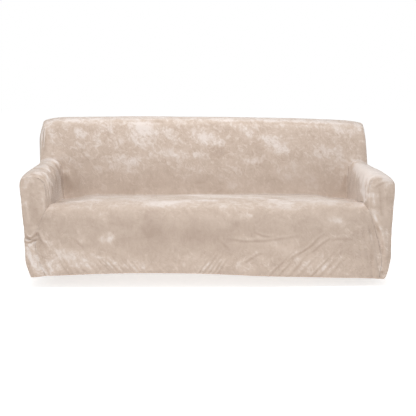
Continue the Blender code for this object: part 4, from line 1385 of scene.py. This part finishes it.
# %% [markdown]
# The node tree makes a curve of the path, spaces points along it, and puts a flattened
# bead on each, turned along the curve and a few degrees off at random. Its sizes are
# inputs with names, so the row can be made coarser or finer without opening the tree.

# %% Build the stitch tree
STITCH = {"Spacing": 0.0050, "Stitch Length": 0.0040, "Thread Width": 0.0009}
WOBBLE = 0.10            # how far, in radians, a stitch may be turned off its line


def stitch_tree(thread):
    """A Geometry Nodes tree that sews stitches along an edge path."""
    tree = bpy.data.node_groups.new("hem_stitches", "GeometryNodeTree")
    names = tree.interface
    names.new_socket(name="Path", in_out="INPUT", socket_type="NodeSocketGeometry")
    for title, size in STITCH.items():
        socket = names.new_socket(name=title, in_out="INPUT", socket_type="NodeSocketFloat")
        socket.default_value = size
    names.new_socket(name="Seed", in_out="INPUT", socket_type="NodeSocketInt")
    names.new_socket(name="Stitches", in_out="OUTPUT", socket_type="NodeSocketGeometry")

    def node(kind, mode=None, **inputs):
        """A node with its inputs set or linked. Some sockets show only in their mode."""
        made = tree.nodes.new(kind)
        if mode:
            made.mode = mode
        for title, value in inputs.items():
            plug(tree, made.inputs[title.replace("_", " ")], value)
        return made

    given = tree.nodes.new("NodeGroupInput").outputs
    curve = node("GeometryNodeMeshToCurve", Mesh=given["Path"])
    spaced = node("GeometryNodeResampleCurve", "LENGTH", Curve=curve.outputs["Curve"],
                  Length=given["Spacing"])
    bead = node("GeometryNodeMeshUVSphere", Segments=6, Rings=4, Radius=0.5)
    size = node("ShaderNodeCombineXYZ", X=given["Thread Width"], Y=given["Thread Width"],
                Z=given["Stitch Length"])
    sized = node("GeometryNodeTransform", Geometry=bead.outputs["Mesh"],
                 Scale=size.outputs["Vector"])
    along = node("FunctionNodeAlignRotationToVector",
                 Vector=node("GeometryNodeInputTangent").outputs["Tangent"])
    along.axis = "Z"
    wobble = tree.nodes.new("FunctionNodeRandomValue")
    wobble.data_type = "FLOAT_VECTOR"
    wobble.inputs[0].default_value = (-WOBBLE,) * 3
    wobble.inputs[1].default_value = (WOBBLE,) * 3
    tree.links.new(given["Seed"], wobble.inputs["Seed"])
    turned = node("FunctionNodeRotateRotation", Rotation=along.outputs["Rotation"],
                  Rotate_By=wobble.outputs["Value"])
    turned.rotation_space = "LOCAL"
    placed = node("GeometryNodeInstanceOnPoints", Points=spaced.outputs["Curve"],
                  Instance=sized.outputs["Geometry"], Rotation=turned.outputs["Rotation"])
    real = node("GeometryNodeRealizeInstances", Geometry=placed.outputs["Instances"])
    finished = node("GeometryNodeSetMaterial", Geometry=real.outputs["Geometry"])
    finished.inputs["Material"].default_value = thread
    tree.links.new(finished.outputs["Geometry"],
                   tree.nodes.new("NodeGroupOutput").inputs["Stitches"])
    return tree


print("a stitch:", {title: f"{1000 * size:.1f} mm" for title, size in STITCH.items()})

# %% [markdown]
# The thread is spun polyester in the cloth's own beige: a little smoother than the pile,
# with a fine twist.

# %% Thread
TWIST = Grain(1400, 2, 0.5, 0.0, (2.0, 1, 1))
THREAD_DEEP, THREAD_PALE = (0.42, 0.335, 0.275), (0.54, 0.44, 0.37)
THREAD_RELIEF = 0.0002


def hem_thread():
    """The sewing thread's material."""
    material, tree, shader = new_material(
        "hem_thread", roughness=0.60, sheen=0.15, sheen_roughness=0.4, specular=0.25
    )
    twist = noise(tree, TWIST)
    colour = colour_run(tree, twist, ((0.3, THREAD_DEEP), (0.7, THREAD_PALE)))
    tree.links.new(colour, shader.inputs["Base Color"])
    tree.links.new(raised(tree, twist, THREAD_RELIEF), shader.inputs["Normal"])
    return material


sewing_tree = stitch_tree(hem_thread())
print("stitch tree:", len(sewing_tree.nodes), "nodes")

# %% [markdown]
# ### Sew the hems
# Each panel's path gets the tree as a modifier, with its own seed. The inputs are set by
# their identifiers, because a modifier doesn't know them by name. The result is kept as a
# plain mesh and the modifier goes, so that the row is a piece like any other.

# %% Sew the hems
FIRST_SEED = 11


def sew_hem(name, line, seed):
    """The row of stitches of one panel's hem, as a plain mesh."""
    path = bpy.data.meshes.new("hem_line_" + name)
    path.from_pydata(line, [(n, n + 1) for n in range(len(line) - 1)], [])
    row = bpy.data.objects.new("hem_stitches_" + name, path)
    bpy.context.scene.collection.objects.link(row)
    sewing = row.modifiers.new("sewing", "NODES")
    sewing.node_group = sewing_tree
    ids = {item.name: item.identifier for item in sewing_tree.interface.items_tree
           if item.in_out == "INPUT"}
    for title, size in STITCH.items():
        sewing[ids[title]] = size
    sewing[ids["Seed"]] = seed
    depsgraph = bpy.context.evaluated_depsgraph_get()
    stitches = bpy.data.meshes.new_from_object(row.evaluated_get(depsgraph))
    row.modifiers.clear()
    row.data = stitches
    for face in stitches.polygons:
        face.use_smooth = True
    print(f"  {row.name}: {len(stitches.polygons)} faces")
    return row


hem_rows = {name: sew_hem(name, line, FIRST_SEED + number)
            for number, (name, line) in enumerate(hem_lines.items())}
print(len(hem_rows), "rows of stitches", round(time.time() - started, 1), "s")

# %% [markdown]
# ## Studio
# The cover is shown over a plain pale floor in an even, soft light. Most of it comes from
# above, which is why the seat and the tops of the arms are bright and the front is not.
# The floor glows a little, so that it stays as pale as the background and only the
# softest shade shows under the cover.

# %% Floor
FLOOR_HEIGHT = -0.89456  # 42 mm under the hem, which hangs clear of it
FLOOR_HALF_WIDTH = 15
FLOOR_GREY, FLOOR_GLOW = 0.9, 0.62


def pale_floor():
    """A plain floor that runs out of sight, a little brighter than the light makes it."""
    mesh = bpy.data.meshes.new("floor")
    edit = bmesh.new()
    bmesh.ops.create_grid(edit, x_segments=1, y_segments=1, size=FLOOR_HALF_WIDTH)
    bmesh.ops.translate(edit, verts=edit.verts, vec=(0, 0, FLOOR_HEIGHT))
    edit.to_mesh(mesh)
    edit.free()
    floor = bpy.data.objects.new("floor", mesh)
    bpy.context.scene.collection.objects.link(floor)
    material, _, shader = new_material(
        "pale_floor", roughness=1.0, sheen=0.0, sheen_roughness=0.5, specular=0.0
    )
    shader.inputs["Base Color"].default_value = (FLOOR_GREY,) * 3 + (1,)
    shader.inputs["Emission Color"].default_value = (1, 1, 1, 1)
    shader.inputs["Emission Strength"].default_value = FLOOR_GLOW
    mesh.materials.append(material)


pale_floor()
print("floor:", 2 * FLOOR_HALF_WIDTH, "m wide, at a height of", FLOOR_HEIGHT, "m")

# %% [markdown]
# ### Lights
# Three large round lamps stand in for the studio's soft boxes. A wide lamp gives a soft
# edge to every shade, which is what makes velvet look deep. The one above is by far the
# strongest. The others only fill in the front and one side. The background is white to
# the camera and dimmer to the cover, or it would wash the folds out.

# %% Lights
Lamp = namedtuple("Lamp", "place aim width watts")
LAMPS = {
    "overhead": Lamp((-0.1, -1.2, 2.5), (0, -0.45, -0.4), 2.4, 84),
    "left": Lamp((-3.9, -2.4, 1.5), (0, -0.4, -0.4), 1.6, 6),
    "front": Lamp((-0.1, -4.6, 1.2), (0, -0.4, -0.5), 2.4, 24),
}
BACKGROUND_LIGHT = 0.45  # of the 1.0 that the camera sees


def soft_light(name, lamp):
    """Hangs one round lamp and turns it to where it aims."""
    light = bpy.data.lights.new(name, "AREA")
    light.shape = "DISK"
    light.size = lamp.width
    light.energy = lamp.watts
    hung = bpy.data.objects.new(name, light)
    hung.location = lamp.place
    direction = Vector(lamp.aim) - Vector(lamp.place)
    hung.rotation_euler = direction.to_track_quat("-Z", "Y").to_euler()
    bpy.context.scene.collection.objects.link(hung)


def white_background():
    """A world that is white to the camera and lights the cover less."""
    world = bpy.data.worlds.new("studio")
    world.use_nodes = True
    tree = world.node_tree
    seen = tree.nodes.new("ShaderNodeLightPath").outputs["Is Camera Ray"]
    strength = calculate(tree, "MULTIPLY_ADD", seen, 1 - BACKGROUND_LIGHT, BACKGROUND_LIGHT)
    background = tree.nodes["Background"]
    background.inputs["Color"].default_value = (1, 1, 1, 1)
    tree.links.new(strength, background.inputs["Strength"])
    bpy.context.scene.world = world


for name, lamp in LAMPS.items():
    soft_light(name, lamp)
white_background()
bpy.context.scene.view_settings.view_transform = "Standard"
print("lamps:", {name: f"{lamp.watts} W" for name, lamp in LAMPS.items()})

# %% [markdown]
# ### Camera
# The camera stands as in the photo: almost in front of the cover, a little above its
# back, tipped down, with a long lens that keeps the arms from spreading. Its numbers came
# from matching the corners of the arms, the back and the hem to the photo.

# %% Camera
CAMERA_PLACE = (-0.093, -4.78749, 0.32744)
TIPPED_DOWN = math.radians(10.86)
TURNED_RIGHT = math.radians(1.31)
LENS, SENSOR = 64.70, 36     # in millimetres

lens = bpy.data.cameras.new("camera")
lens.lens = LENS
lens.sensor_width = SENSOR
camera = bpy.data.objects.new("camera", lens)
camera.location = CAMERA_PLACE
camera.rotation_euler = (math.pi / 2 - TIPPED_DOWN, 0, -TURNED_RIGHT)
bpy.context.scene.collection.objects.link(camera)
bpy.context.scene.camera = camera
print("camera:", -CAMERA_PLACE[1], "m in front, field of view",
      round(math.degrees(lens.angle), 1), "degrees")

# %% [markdown]
# ## Put each piece on the cover's body
# Each panel takes the place of its plain slab and rides on the cover's one body. No
# panel is cut as a full rectangle. A stretch cover is cut smaller than what it goes
# over, so the worn panels are 3 to 6 percent larger than their patterns. A row of
# stitches belongs to the panel that it hems and rides on the same body.

for name, (panel, _) in cloth.items():
    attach(panel, "root")
    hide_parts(name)
    stitches = [hem_rows[name]] if name in hem_rows else []
    for row in stitches:
        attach(row, "root")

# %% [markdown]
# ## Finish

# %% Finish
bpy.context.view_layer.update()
print("done", round(time.time() - started, 1), "s")
